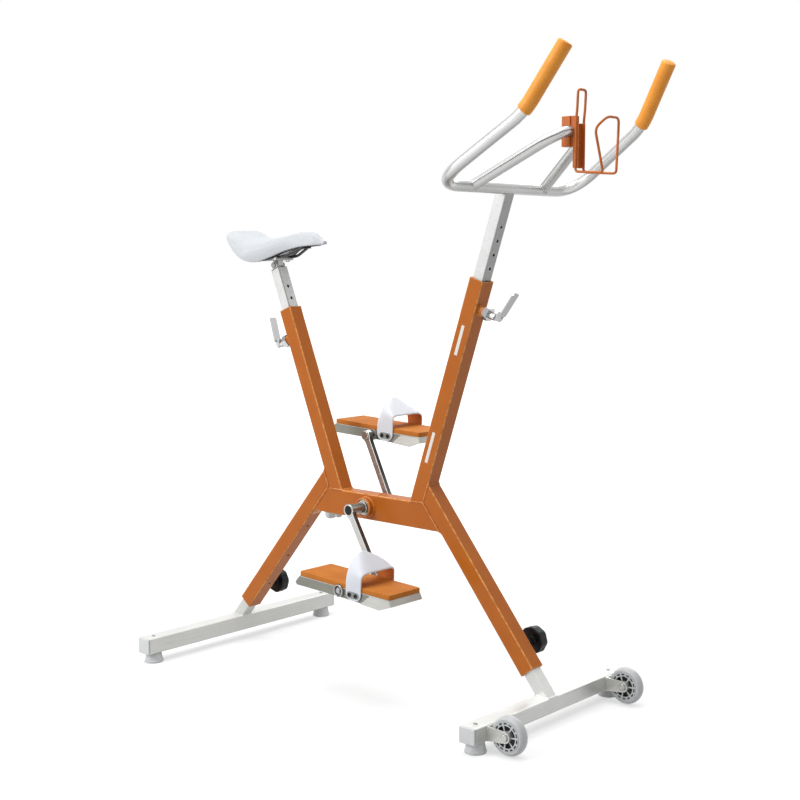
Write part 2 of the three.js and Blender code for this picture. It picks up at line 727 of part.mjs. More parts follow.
function knobSleeve(axis, shown) {
  const middle = axis.point(shown + KNOB_UP_LEG);
  const far = middle.clone().addScaledVector(ACROSS, TUBE_WIDTH);
  return sleeve(axis, shown, 1).subtract(rod(KNOB_STUD_RADIUS + KNOB_STUD_PLAY, middle, far, COARSE));
}

// Holes at one pitch, counted from the lock: some below it and the rest above. They pass
// through both walls, or only through the front one when that is where the lock is.
function indexHoles(axis, tubeLength, drop, below, above, rearReach) {
  const holes = [];
  for (let i = -below; i <= above; i += 1) {
    const middle = axis.point(tubeLength - drop + i * POST_HOLE_PITCH);
    const start = middle.clone().addScaledVector(axis.ahead, -rearReach);
    const end = middle.clone().addScaledVector(axis.ahead, POST_DEPTH);
    holes.push(rod(POST_HOLE_RADIUS, start, end, HOLE_SIDES));
  }
  return holes;
}

function holedPost(axis, tubeLength, insert, shown, drop, below, above, rearReach) {
  const from = tubeLength - insert;
  const to = tubeLength + shown;
  let post = squareTube(axis, from, to, POST_WIDTH, POST_DEPTH, POST_CORNER, POST_WALL);
  for (const hole of indexHoles(axis, tubeLength, drop, below, above, rearReach)) {
    post = post.subtract(hole);
  }
  return post;
}

const SEAT_PIVOT = seatAxis.point(SEAT_TUBE_LENGTH + SEAT_POST_SHOWN + PIVOT_EYE_RADIUS);

// The saddle and its rails are placed from this point, over the tilt bolt at the rails' height.
const saddleHome = at(SEAT_PIVOT.x, 0, SEAT_PIVOT.z + RAIL_OVER_PIVOT);

// The seat post carries two ears for the cradle's cross bolt.
function seatPost() {
  const post = holedPost(
    seatAxis, SEAT_TUBE_LENGTH, SEAT_POST_INSERT_LENGTH, SEAT_POST_SHOWN, SEAT_LOCK_DROP,
    SEAT_HOLES_BELOW, SEAT_HOLES_ABOVE, POST_DEPTH,
  );
  const lid = squareBar(
    seatAxis, SEAT_TUBE_LENGTH + SEAT_POST_SHOWN - POST_WALL, SEAT_TUBE_LENGTH + SEAT_POST_SHOWN,
    POST_WIDTH, POST_DEPTH, POST_CORNER,
  );
  let body = post.add(lid);
  const eyeRoot = seatAxis.point(SEAT_TUBE_LENGTH + SEAT_POST_SHOWN - POST_WALL / 2);
  for (const { sign } of SIDES) {
    const inner = sign * (PIVOT_LUG_HALF + SEAT_GAP);
    const outer = sign * (PIVOT_LUG_HALF + SEAT_GAP + PIVOT_EAR);
    const ear = rod(
      PIVOT_EYE_RADIUS, at(SEAT_PIVOT.x, inner, SEAT_PIVOT.z), at(SEAT_PIVOT.x, outer, SEAT_PIVOT.z),
    );
    const shape = new THREE.Shape();
    shape.moveTo(-PIVOT_EYE_RADIUS, 0);
    shape.lineTo(PIVOT_EYE_RADIUS, 0);
    shape.lineTo(PIVOT_EYE_RADIUS, PIVOT_EAR);
    shape.lineTo(-PIVOT_EYE_RADIUS, PIVOT_EAR);
    shape.closePath();
    const low = Math.min(inner, outer);
    const stalk = prism(
      shape, PIVOT_EYE_RADIUS + POST_WALL / 2, eyeRoot.clone().setY(low), seatAxis.ahead, seatAxis.along,
    );
    body = body.add(ear).add(stalk);
  }
  const reach = POST_WIDTH;
  return body.subtract(rod(
    PIVOT_RADIUS + RUNNING_GAP,
    at(SEAT_PIVOT.x, -reach, SEAT_PIVOT.z), at(SEAT_PIVOT.x, reach, SEAT_PIVOT.z),
  ));
}

function railPoint(share, side) {
  const x = THREE.MathUtils.lerp(-RAIL_BACK_BEND_OFFSET, RAIL_FRONT_BEND_OFFSET, share);
  return at(x, side * RAIL_Y, RAIL_RISE * share).add(saddleHome);
}

// The two saddle rails are one wire, bent back on itself under the nose.
function railWire(radius) {
  const half = (side) => [
    at(-RAIL_REAR_OFFSET, side * RAIL_REAR_Y, RAIL_REAR_RISE).add(saddleHome),
    railPoint(0, side),
    railPoint(1, side),
    at(RAIL_NOSE_OFFSET, side * RAIL_NOSE_Y, RAIL_NOSE_RISE).add(saddleHome),
  ];
  const bends = [RAIL_REAR_BEND, RAIL_MIDDLE_BEND, RAIL_NOSE_BEND];
  const path = bentPath([...half(1), ...half(-1).reverse()], [...bends, ...bends.slice().reverse()]);
  return sweep(path, radius, WIRE_SIDES);
}

const railMiddle = railPoint(1 / 2, 0);
const RAIL_PITCH = Math.atan2(RAIL_RISE, RAIL_FRONT_BEND_OFFSET + RAIL_BACK_BEND_OFFSET);
const railAxis = planeAxis(railMiddle, at(Math.cos(RAIL_PITCH), 0, Math.sin(RAIL_PITCH)));
const railUp = at(-Math.sin(RAIL_PITCH), 0, Math.cos(RAIL_PITCH));

function railGrooves(body) {
  let cut = body;
  for (const { sign } of SIDES) {
    const reach = CRADLE_LENGTH;
    const start = railMiddle.clone().addScaledVector(railAxis.along, -reach).setY(sign * RAIL_Y);
    const end = railMiddle.clone().addScaledVector(railAxis.along, reach).setY(sign * RAIL_Y);
    cut = cut.subtract(rod(RAIL_RADIUS + SEAT_GAP, start, end, COARSE));
  }
  return cut;
}

function cradlePlate(bottom, thickness, length, side) {
  const width = 2 * (RAIL_Y + RAIL_RADIUS + side);
  const shape = roundedRectangle(length, width, side);
  const origin = railMiddle.clone().addScaledVector(railUp, bottom);
  return prism(shape, thickness, origin, railAxis.along, railUp);
}

// The cradle hangs on the cross bolt and carries the rails in two grooves.
function saddleCradle() {
  const plate = cradlePlate(
    -CRADLE_THICKNESS, CRADLE_THICKNESS - SEAT_GAP / 2, CRADLE_LENGTH, CRADLE_SIDE,
  );
  const eye = rod(
    PIVOT_EYE_RADIUS - SEAT_GAP,
    at(SEAT_PIVOT.x, -PIVOT_LUG_HALF, SEAT_PIVOT.z), at(SEAT_PIVOT.x, PIVOT_LUG_HALF, SEAT_PIVOT.z),
  );
  const lug = block(
    at(SEAT_PIVOT.x - PIVOT_EYE_RADIUS + SEAT_GAP, -PIVOT_LUG_HALF, SEAT_PIVOT.z),
    at(SEAT_PIVOT.x + PIVOT_EYE_RADIUS - SEAT_GAP, PIVOT_LUG_HALF, railMiddle.z - CRADLE_THICKNESS / 2),
  );
  const boltEnd = PIVOT_LUG_HALF + 2 * SEAT_GAP + PIVOT_EAR;
  const bolt = rod(
    PIVOT_RADIUS,
    at(SEAT_PIVOT.x, -boltEnd - BOLT_HEAD_HEIGHT, SEAT_PIVOT.z),
    at(SEAT_PIVOT.x, boltEnd + BOLT_HEAD_HEIGHT, SEAT_PIVOT.z),
  );
  let body = railGrooves(plate).add(eye).add(lug).add(bolt);
  for (const { sign } of SIDES) {
    body = body.add(rod(
      BOLT_HEAD_RADIUS,
      at(SEAT_PIVOT.x, sign * boltEnd, SEAT_PIVOT.z),
      at(SEAT_PIVOT.x, sign * (boltEnd + BOLT_HEAD_HEIGHT), SEAT_PIVOT.z),
    ));
  }
  return body;
}

function saddleClampPlate() {
  const bottom = SEAT_GAP / 2;
  return railGrooves(cradlePlate(bottom, CLAMP_PLATE_THICKNESS, CLAMP_PLATE_LENGTH, CLAMP_PLATE_SIDE));
}

// Half outline of the saddle at a share of its length: an arch over its lower edge.
function saddleSection(share, inset, around) {
  const half = Math.max(smoothRow(SADDLE_HALF_WIDTHS, share) - inset, RAIL_RADIUS);
  const edge = smoothRow(SADDLE_EDGE_RISES, share);
  const top = Math.max(smoothRow(SADDLE_TOP_RISES, share) - edge - inset, SADDLE_SHELL / 2);
  const angle = Math.PI * around;
  const power = 2 / SADDLE_SECTION_POWER;
  const cos = Math.cos(angle);
  const rise = Math.abs(Math.sin(angle)) ** power;
  const tuck = 1 - SADDLE_TUCK_SHARE * (1 - rise) ** 2;
  const y = half * tuck * Math.sign(cos) * Math.abs(cos) ** power;
  return at(SADDLE_LENGTH * share - SADDLE_REAR_OFFSET, y, edge + top * rise).add(saddleHome);
}

// An arched shell between two insets of the saddle's outline.
function saddleLayer(from, to, outerInset, innerInset, rings, around) {
  const half = around / 2;
  return loft((along, turn) => {
    const share = THREE.MathUtils.lerp(from, to, along);
    const step = Math.round(turn * around);
    if (step <= half - 1) return saddleSection(share, outerInset, step / (half - 1));
    return saddleSection(share, innerInset, 1 - (step - half) / (half - 1));
  }, rings, around);
}

// Height of the middle of the saddle's hard shell over a point under it, from the saddle's home.
function shellHeight(x, y) {
  const share = (x + SADDLE_REAR_OFFSET) / SADDLE_LENGTH;
  const inset = SADDLE_PAD + SEAT_GAP + SADDLE_SHELL / 2;
  const half = smoothRow(SADDLE_HALF_WIDTHS, share) - inset;
  const edge = smoothRow(SADDLE_EDGE_RISES, share);
  const top = smoothRow(SADDLE_TOP_RISES, share) - edge - inset;
  const away = Math.min(Math.abs(y) / half, 1) ** SADDLE_SECTION_POWER;
  return edge + top * (1 - away) ** (1 / SADDLE_SECTION_POWER);
}

// A block that hangs from the shell and holds the wire between two x positions.
function railSocket(fromX, toX, middleY, wireHeight) {
  const side = RAIL_RADIUS + SOCKET_WALL;
  const farY = Math.abs(middleY) + side;
  const ceiling = Math.min(shellHeight(fromX, farY), shellHeight(toX, farY));
  const low = at(fromX, middleY - side, wireHeight - side).add(saddleHome);
  return block(low, at(toX, middleY + side, ceiling).add(saddleHome));
}

// The saddle's hard base: a thin arch with sockets for the wire's ends and its nose bend.
function saddleBase() {
  const inset = SADDLE_PAD + SEAT_GAP;
  const first = SADDLE_END_STEPS / SADDLE_RINGS;
  const last = (SADDLE_END_STEPS + SADDLE_BASE_STEPS) / SADDLE_RINGS;
  let body = saddleLayer(
    first, last, inset + SADDLE_SHELL, inset, SADDLE_BASE_STEPS, SADDLE_AROUND,
  );
  body = body.add(railSocket(
    RAIL_NOSE_OFFSET - SOCKET_DEPTH, RAIL_NOSE_OFFSET + SOCKET_DEPTH / 2, 0, RAIL_NOSE_RISE,
  ));
  for (const { sign } of SIDES) {
    body = body.add(railSocket(
      -RAIL_REAR_OFFSET - SOCKET_WALL, SOCKET_DEPTH - RAIL_REAR_OFFSET, sign * RAIL_REAR_Y, RAIL_REAR_RISE,
    ));
  }
  return body.subtract(railWire(RAIL_RADIUS + SEAT_GAP));
}

// The bar's straight run lies on the post's top, and the rest of the bar is placed from it.
const barRun = barAxis.point(BAR_TUBE_LENGTH + BAR_POST_SHOWN + BAR_RUN_RISE)
  .addScaledVector(barAxis.ahead, BAR_RUN_AHEAD);
const loopApex = at(LOOP_APEX_AHEAD, 0, LOOP_APEX_RISE).add(barRun);

// A point given by how far it is ahead of the run, off the middle and above the run.
const sided = (point, side) => at(point[0], side * point[1], point[2]).add(barRun);
const BAR_CORNER = [0, BAR_CORNER_Y, 0];

function gripAlong(side) {
  return sided(GRIP_END, side).sub(sided(GRIP_START, side)).normalize();
}

// The bar's corner points from one grip end to the middle.
function barCorners(side) {
  const end = sided(GRIP_END, side).addScaledVector(gripAlong(side), -GRIP_END_WALL);
  return [end, sided(GRIP_START, side), sided(BAR_CORNER, side)];
}

// The whole bar is one bent tube, open inside the two grips.
function handlebar() {
  const points = [...barCorners(1), ...barCorners(-1).reverse()];
  const bends = [GRIP_BEND, BAR_BEND, BAR_BEND, GRIP_BEND];
  return sweep(bentPath(points, bends), BAR_RADIUS, BAR_SIDES, BAR_RADIUS - BAR_WALL);
}

// A soft grip that follows the bar's small bend at its lower end.
function grip(side) {
  const knee = sided(GRIP_START, side);
  const down = sided(BAR_CORNER, side).sub(knee).normalize();
  const low = knee.clone().addScaledVector(down, GRIP_BEND / 2);
  const path = bentPath([low, knee, sided(GRIP_END, side)], [GRIP_BEND / 2 - SEAT_GAP]);
  const inside = [...barCorners(side), at(barRun.x, 0, barRun.z)];
  const core = sweep(bentPath(inside, [GRIP_BEND, BAR_BEND]), BAR_RADIUS + SEAT_GAP, BAR_SIDES);
  return sweep(path, GRIP_RADIUS, BAR_SIDES).subtract(core);
}

// The loop narrows from the bar to a round front end that carries the bottle cage.
function handlebarLoop() {
  const half = (side) => [
    at(barRun.x, side * LOOP_BASE_Y, barRun.z),
    sided(LOOP_SHOULDER, side),
    at(loopApex.x, side * LOOP_RADIUS * 2, loopApex.z),
  ];
  const bends = [LOOP_BEND / 2, LOOP_RADIUS, LOOP_RADIUS, LOOP_BEND / 2];
  const path = bentPath([...half(1), ...half(-1).reverse()], bends);
  const run = rod(
    BAR_RADIUS + WELD_GAP,
    at(barRun.x, -BAR_CORNER_Y, barRun.z), at(barRun.x, BAR_CORNER_Y, barRun.z),
  );
  const behind = farSide(at(barRun.x, 0, barRun.z), FORWARD.clone().negate());
  return sweep(path, LOOP_RADIUS, BAR_SIDES, LOOP_RADIUS - BAR_WALL).subtract(run).subtract(behind);
}

// The handlebar post is coped to the bar and has a small bolted bracket behind.
function handlebarPost() {
  const post = holedPost(
    barAxis, BAR_TUBE_LENGTH, BAR_POST_INSERT_LENGTH, BAR_POST_SHOWN + BAR_RADIUS, BAR_LOCK_DROP,
    BAR_HOLES_BELOW, BAR_HOLES_ABOVE, 0,
  );
  const top = barAxis.point(BAR_TUBE_LENGTH + BAR_POST_SHOWN + BAR_RADIUS);
  const low = barAxis.point(BAR_TUBE_LENGTH + BAR_POST_SHOWN + BAR_RADIUS - BRACKET_DROP);
  const shape = roundedRectangle(BRACKET_THICKNESS * 2, BRACKET_WIDTH, BRACKET_THICKNESS / 2);
  const start = low.clone().addScaledVector(barAxis.ahead, -POST_DEPTH / 2);
  const bracket = prism(shape, top.distanceTo(low), start, barAxis.ahead, barAxis.along);
  const bar = rod(
    BAR_RADIUS + WELD_GAP,
    at(barRun.x, -TUBE_WIDTH, barRun.z), at(barRun.x, TUBE_WIDTH, barRun.z), COARSE,
  );
  const above = farSide(at(barRun.x, 0, barRun.z - BAR_COPE_DEPTH), UP);
  return post.add(bracket).subtract(bar).subtract(above);
}

// Rear half of the cage clamp, with its two screw heads.
function cageClampRear() {
  const rearX = loopApex.x - CLAMP_REAR_DEPTH;
  const splitX = loopApex.x - CLAMP_SPLIT / 2;
  let body = block(
    at(rearX, -CLAMP_WIDTH / 2, loopApex.z - CLAMP_HEIGHT / 2),
    at(splitX, CLAMP_WIDTH / 2, loopApex.z + CLAMP_HEIGHT / 2),
  );
  for (const end of [-1, 1]) {
    const z = loopApex.z + end * CLAMP_SCREW_OFFSET;
    body = body.add(rod(CLAMP_SCREW_RADIUS, at(rearX - CLAMP_SCREW_HEIGHT, 0, z), at(splitX, 0, z), COARSE));
  }
  return body.subtract(loopBore());
}

function loopBore() {
  const reach = CLAMP_WIDTH;
  return rod(
    LOOP_RADIUS + SEAT_GAP,
    at(loopApex.x, -reach, loopApex.z), at(loopApex.x, reach, loopApex.z), ROUND,
  );
}

const CAGE_PLATE_X = loopApex.x + LOOP_RADIUS + SEAT_GAP + CAGE_PLATE_WALL;
const CAGE_PLATE_BOTTOM = loopApex.z - CLAMP_HEIGHT / 2 - CAGE_PLATE_DROP - CAGE_PLATE_WALL;

// The cage's back plate is a channel, open to the front, on the clamp's front half.
function cagePlate() {
  const shape = new THREE.Shape();
  const half = CAGE_PLATE_WIDTH / 2;
  shape.moveTo(0, -half);
  shape.lineTo(CAGE_PLATE_DEPTH, -half);
  shape.lineTo(CAGE_PLATE_DEPTH, -half + CAGE_PLATE_WALL);
  shape.lineTo(CAGE_PLATE_WALL, -half + CAGE_PLATE_WALL);
  shape.lineTo(CAGE_PLATE_WALL, half - CAGE_PLATE_WALL);
  shape.lineTo(CAGE_PLATE_DEPTH, half - CAGE_PLATE_WALL);
  shape.lineTo(CAGE_PLATE_DEPTH, half);
  shape.lineTo(0, half);
  shape.closePath();
  const channel = prism(shape, CAGE_PLATE_HEIGHT, at(CAGE_PLATE_X, 0, CAGE_PLATE_BOTTOM), FORWARD, UP);
  const splitX = loopApex.x + CLAMP_SPLIT / 2;
  const front = block(
    at(splitX, -CLAMP_WIDTH / 2, loopApex.z - CLAMP_HEIGHT / 2),
    at(CAGE_PLATE_X + CAGE_PLATE_WALL / 2, CLAMP_WIDTH / 2, loopApex.z + CLAMP_HEIGHT / 2),
  );
  return channel.add(front).subtract(loopBore());
}

// One closed wire: a tall hoop, down both sides of the plate, along the floor, up over the front.
function cageWire() {
  const sideX = CAGE_PLATE_X + CAGE_PLATE_DEPTH / 2;
  const sideY = CAGE_PLATE_WIDTH / 2 + WIRE_RADIUS + SEAT_GAP;
  const plateTop = CAGE_PLATE_BOTTOM + CAGE_PLATE_HEIGHT;
  const hoopTop = loopApex.z + CAGE_HOOP_RISE;
  const floor = CAGE_PLATE_BOTTOM - CAGE_FLOOR_BELOW;
  const half = (side) => [
    at(sideX, side * CAGE_HOOP_Y, hoopTop),
    at(sideX, side * CAGE_HOOP_Y, plateTop + WIRE_NECK_HIGH),
    at(sideX, side * sideY, plateTop + WIRE_NECK_LOW),
    at(sideX, side * sideY, floor),
    at(loopApex.x + CAGE_FRONT_REACH, side * CAGE_FOOT_Y, floor - CAGE_FLOOR_FALL),
    at(loopApex.x + CAGE_SHOULDER_REACH, side * CAGE_SHOULDER_Y, floor + CAGE_SHOULDER_RISE),
    at(loopApex.x + CAGE_ARCH_REACH, side * CAGE_ARCH_Y, floor + CAGE_ARCH_RISE),
  ];
  const neck = WIRE_BEND / 2;
  const bends = [WIRE_BEND, neck, neck, WIRE_BEND, WIRE_BEND, WIRE_WIDE_BEND, WIRE_WIDE_BEND];
  const start = at(sideX, 0, hoopTop);
  const path = bentPath(
    [start, ...half(1), ...half(-1).reverse(), start], [...bends, ...bends.slice().reverse()],
    WIRE_BEND_STEPS,
  );
  return solid(new THREE.TubeGeometry(path, path.stations.length - 1, WIRE_RADIUS, WIRE_SIDES, true));
}

function hexagon(across) {
  const shape = new THREE.Shape();
  const radius = across / (2 * Math.cos(Math.PI / HEX_SIDES));
  for (let i = 0; i < HEX_SIDES; i += 1) {
    const angle = (i * 2 * Math.PI) / HEX_SIDES;
    const [x, y] = [radius * Math.cos(angle), radius * Math.sin(angle)];
    if (i === 0) shape.moveTo(x, y);
    else shape.lineTo(x, y);
  }
  shape.closePath();
  return shape;
}

// The lock's barrel: hexagon, round body and a flat tongue for the lever's pivot.
function lockBarrel(lock) {
  const start = BOSS_END + SEAT_GAP;
  const hexEnd = start + HEX_LENGTH;
  const roundEnd = hexEnd + BARREL_LENGTH;
  const hex = prism(hexagon(HEX_ACROSS), HEX_LENGTH, lock.point(start), ACROSS, lock.out);
  const body = rod(BARREL_RADIUS, lock.point(hexEnd - SEAT_GAP), lock.point(roundEnd));
  const shape = roundedRectangle(BARREL_TONGUE, TONGUE_HEIGHT, TONGUE_CORNER);
  const tongueEnd = LOCK_PIVOT + LEVER_EYE_RADIUS - SEAT_GAP;
  const tongue = prism(
    shape, tongueEnd - roundEnd + SEAT_GAP, lock.point(roundEnd - SEAT_GAP), ACROSS, lock.out,
  );
  const bore = rod(BARREL_BORE, lock.point(0), lock.point(roundEnd - BARREL_TONGUE / 2), COARSE);
  const pivot = lock.point(LOCK_PIVOT);
  const cross = rod(
    LEVER_PIVOT_RADIUS + RUNNING_GAP,
    pivot.clone().setY(-LEVER_WIDTH), pivot.clone().setY(LEVER_WIDTH), COARSE,
  );
  return hex.add(body).add(tongue).subtract(bore).subtract(cross);
}

// The spring pin: a plain tip, a collar for the spring and a short tail.
function lockPin(lock) {
  const tip = POST_DEPTH / 2 + SLIDE_GAP;
  const collar = BOSS_END + SEAT_GAP;
  const profile = [
    [0, tip],
    [LOCK_PIN_RADIUS / 2, tip],
    [LOCK_PIN_RADIUS, tip + LOCK_PIN_RADIUS / 2],
    [LOCK_PIN_RADIUS, collar],
    [LOCK_PIN_COLLAR, collar],
    [LOCK_PIN_COLLAR, collar + LOCK_PIN_RADIUS],
    [LOCK_PIN_RADIUS / 2, collar + LOCK_PIN_RADIUS],
    [LOCK_PIN_RADIUS / 2, tip + LOCK_PIN_LENGTH],
    [0, tip + LOCK_PIN_LENGTH],
  ];
  return turned(profile, lock.origin, lock.out, COARSE);
}

// The lever: a flat blade on two cheeks that straddle the barrel's tongue.
function lockLever(lock, lean) {
  const pivot = lock.point(LOCK_PIVOT);
  const along = at(Math.sin(lean), 0, Math.cos(lean));
  const flat = at(Math.cos(lean), 0, -Math.sin(lean));
  const outward = flat.dot(lock.out) > 0 ? 1 : -1;
  const backOffset = outward * (LEVER_EYE_RADIUS - LEVER_THICKNESS / 2);
  const blade = new THREE.Shape();
  const half = LEVER_WIDTH / 2;
  blade.moveTo(-half, 0);
  blade.lineTo(half, 0);
  blade.lineTo(half, LEVER_LENGTH - LEVER_TIP_RADIUS);
  blade.quadraticCurveTo(half, LEVER_LENGTH, half - LEVER_TIP_RADIUS, LEVER_LENGTH);
  blade.lineTo(LEVER_TIP_RADIUS - half, LEVER_LENGTH);
  blade.quadraticCurveTo(-half, LEVER_LENGTH, -half, LEVER_LENGTH - LEVER_TIP_RADIUS);
  blade.closePath();
  const matrix = new THREE.Matrix4().makeBasis(ACROSS, along, ACROSS.clone().cross(along));
  const rise = LEVER_EYE_RADIUS + LEVER_THICKNESS;
  const corner = pivot.clone().addScaledVector(flat, backOffset).addScaledVector(along, rise);
  const geometry = new THREE.ExtrudeGeometry(blade, {
    depth: LEVER_THICKNESS, bevelEnabled: false, curveSegments: SMOOTH_ARC,
  });
  geometry.translate(0, 0, -LEVER_THICKNESS / 2);
  geometry.applyMatrix4(matrix.setPosition(corner));
  let body = solid(geometry);
  for (const { sign } of SIDES) {
    const inner = sign * (BARREL_TONGUE / 2 + SEAT_GAP);
    const outer = sign * (BARREL_TONGUE / 2 + SEAT_GAP + LEVER_CHEEK);
    const eye = rod(LEVER_EYE_RADIUS, pivot.clone().setY(inner), pivot.clone().setY(outer), COARSE);
    const low = Math.min(inner, outer);
    const cheek = new THREE.Shape();
    cheek.moveTo(-LEVER_EYE_RADIUS, 0);
    cheek.lineTo(LEVER_EYE_RADIUS, 0);
    cheek.lineTo(LEVER_EYE_RADIUS, LEVER_CHEEK);
    cheek.lineTo(-LEVER_EYE_RADIUS, LEVER_CHEEK);
    cheek.closePath();
    const base = pivot.clone().setY(low);
    const stem = prism(cheek, rise + LEVER_THICKNESS * 2, base, flat, along);
    body = body.add(eye).add(stem);
  }
  const pinReach = BARREL_TONGUE / 2 + SEAT_GAP + LEVER_CHEEK;
  return body.add(rod(
    LEVER_PIVOT_RADIUS, pivot.clone().setY(-pinReach), pivot.clone().setY(pinReach), COARSE,
  ));
}

// A foot: a square cross tube with its stem welded on top and two holes for the pads.
function foot(spec) {
  const middle = spec.bottom + spec.height / 2;
  const tubeLength = spec.length - 2 * CAP_FLANGE;
  const half = tubeLength / 2;
  const outer = prism(
    roundedRectangle(spec.height, FOOT_WIDTH, FOOT_CORNER), tubeLength, at(spec.x, -half, middle), UP, ACROSS,
  );
  const inner = prism(
    rectangle(spec.height - 2 * FOOT_WALL, FOOT_WIDTH - 2 * FOOT_WALL),
    tubeLength + 2 * OVERCUT, at(spec.x, -half - OVERCUT, middle), UP, ACROSS,
  );
  const top = spec.bottom + spec.height;
  const stem = squareTube(
    spec.axis, -POST_DEPTH, spec.shown + STEM_INSERT_LENGTH,
    POST_WIDTH, POST_DEPTH, POST_CORNER, POST_WALL,
  ).subtract(farSide(at(spec.x, 0, top - FOOT_WALL / 2), UP.clone().negate()));
  let body = outer.subtract(inner).add(stem);
  for (const { sign } of SIDES) {
    const y = sign * spec.padOffset;
    const start = at(spec.x, y, spec.bottom - OVERCUT);
    body = body.subtract(rod(PAD_STUB_RADIUS + SEAT_GAP, start, at(spec.x, y, middle), COARSE));
  }
  return body;
}

// An end cap: a bevelled flange on the tube's end and a hollow plug inside it.
function footCap(spec, side) {
  const middle = spec.bottom + spec.height / 2;
  const out = ACROSS.clone().multiplyScalar(side);
  const seat = spec.length / 2 - CAP_FLANGE + SEAT_GAP;
  const section = (inset) => rectangle(spec.height - 2 * inset, FOOT_WIDTH - 2 * inset);
  const from = (distance) => at(spec.x, side * distance, middle);
  const flange = prism(
    roundedRectangle(spec.height, FOOT_WIDTH, FOOT_CORNER), CAP_FLANGE - SEAT_GAP,
    from(seat), UP, out, CAP_BEVEL,
  );
  const inset = FOOT_WALL + SEAT_GAP;
  const plug = prism(
    section(inset), CAP_PLUG + CAP_BEVEL * 2, from(seat - CAP_PLUG), UP, out,
  );
  const hollow = prism(
    section(inset + CAP_PLUG_WALL), CAP_PLUG + OVERCUT,
    from(seat - CAP_PLUG - OVERCUT), UP, out,
  );
  return flange.add(plug).subtract(hollow);
}

function footPad(spec, side) {
  const height = spec.bottom - SEAT_GAP;
  const profile = [
    [0, 0],
    [PAD_BASE_RADIUS, 0],
    [PAD_BASE_RADIUS, PAD_EDGE],
    [PAD_TOP_RADIUS, height - PAD_EDGE / 2],
    [PAD_TOP_RADIUS - PAD_EDGE / 2, height],
    [PAD_STUB_RADIUS, height],
    [PAD_STUB_RADIUS, height + PAD_STUB_HEIGHT],
    [0, height + PAD_STUB_HEIGHT],
  ];
  return turned(profile, at(spec.x, side * spec.padOffset, 0), UP, PAD_SIDES);
}

const REAR_FOOT = {
  x: REAR_FOOT_X, length: REAR_FOOT_LENGTH, height: REAR_FOOT_HEIGHT, bottom: REAR_PAD_HEIGHT,
  padOffset: REAR_FOOT_LENGTH / 2 - REAR_PAD_INSET, axis: rearLegAxis, shown: REAR_STEM_SHOWN,
};
const FRONT_FOOT = {
  x: FRONT_FOOT_X, length: FRONT_FOOT_LENGTH, height: FRONT_FOOT_HEIGHT, bottom: FRONT_PAD_HEIGHT,
  padOffset: FRONT_FOOT_LENGTH / 2 - FRONT_PAD_INSET, axis: frontLegAxis, shown: FRONT_STEM_SHOWN,
};

const WHEEL_X = FRONT_FOOT_X + WHEEL_AXLE_OFFSET;
const WHEEL_Y = FRONT_FOOT_LENGTH / 2 - WHEEL_INSET;
const WHEEL_Z = WHEEL_RADIUS + WHEEL_LIFT;

// A fork: a base plate on the foot's front, two round-ended ears and the axle bolt.
function wheelFork(side) {
  const middle = side * WHEEL_Y;
  const faceX = FRONT_FOOT_X + FOOT_WIDTH / 2 + WELD_GAP;
  const inner = WHEEL_WIDTH / 2 + FORK_PLAY;
  const outer = inner + FORK_PLATE;
  const centreZ = FRONT_PAD_HEIGHT + FRONT_FOOT_HEIGHT / 2;
  let body = block(
    at(faceX, middle - outer, centreZ - FORK_HEIGHT / 2),
    at(faceX + FORK_PLATE, middle + outer, centreZ + FORK_HEIGHT / 2),
  );
  const ear = new THREE.Shape();
  ear.moveTo(faceX, centreZ - FORK_HEIGHT / 2);
  ear.lineTo(WHEEL_X, WHEEL_Z - FORK_EYE_RADIUS);
  ear.absarc(WHEEL_X, WHEEL_Z, FORK_EYE_RADIUS, -Math.PI / 2, Math.PI / 2);
  ear.lineTo(faceX, centreZ + FORK_HEIGHT / 2);
  ear.closePath();
  for (const { sign } of SIDES) {
    body = body.add(acrossPrism(ear, FORK_PLATE, middle + sign * (inner + FORK_PLATE / 2)));
    const face = middle + sign * outer;
    const head = middle + sign * (outer + BOLT_HEAD_HEIGHT);
    const root = face - sign * WELD_GAP;
    body = body.add(rod(BOLT_HEAD_RADIUS, at(WHEEL_X, root, WHEEL_Z), at(WHEEL_X, head, WHEEL_Z), HEX_SIDES));
  }
  const reach = outer - FORK_PLATE / 2;
  return body.add(rod(
    AXLE_RADIUS, at(WHEEL_X, middle - reach, WHEEL_Z), at(WHEEL_X, middle + reach, WHEEL_Z), FINE,
  ));
}

// A skate-type tyre with a rounded tread, keyed on its hub by a shallow groove.
function wheelTyre(side) {
  const half = WHEEL_WIDTH / 2;
  const inner = HUB_RADIUS + SEAT_GAP;
  const shoulder = (WHEEL_RADIUS + HUB_RADIUS) / 2;
  const profile = [[inner, -HUB_WIDTH / 2]];
  profile.push([shoulder - TYRE_FLAT, -half]);
  for (let i = 0; i <= TREAD_STEPS; i += 1) {
    const angle = -Math.PI / 2 + (Math.PI * i) / TREAD_STEPS;
    const radius = shoulder + (WHEEL_RADIUS - shoulder) * Math.cos(angle);
    profile.push([radius, half * Math.sin(angle)]);
  }
  profile.push([shoulder - TYRE_FLAT, half]);
  profile.push([inner, HUB_WIDTH / 2]);
  profile.push([inner, -HUB_WIDTH / 2]);
  return turned(profile, at(WHEEL_X, side * WHEEL_Y, WHEEL_Z), ACROSS, ROUND);
}

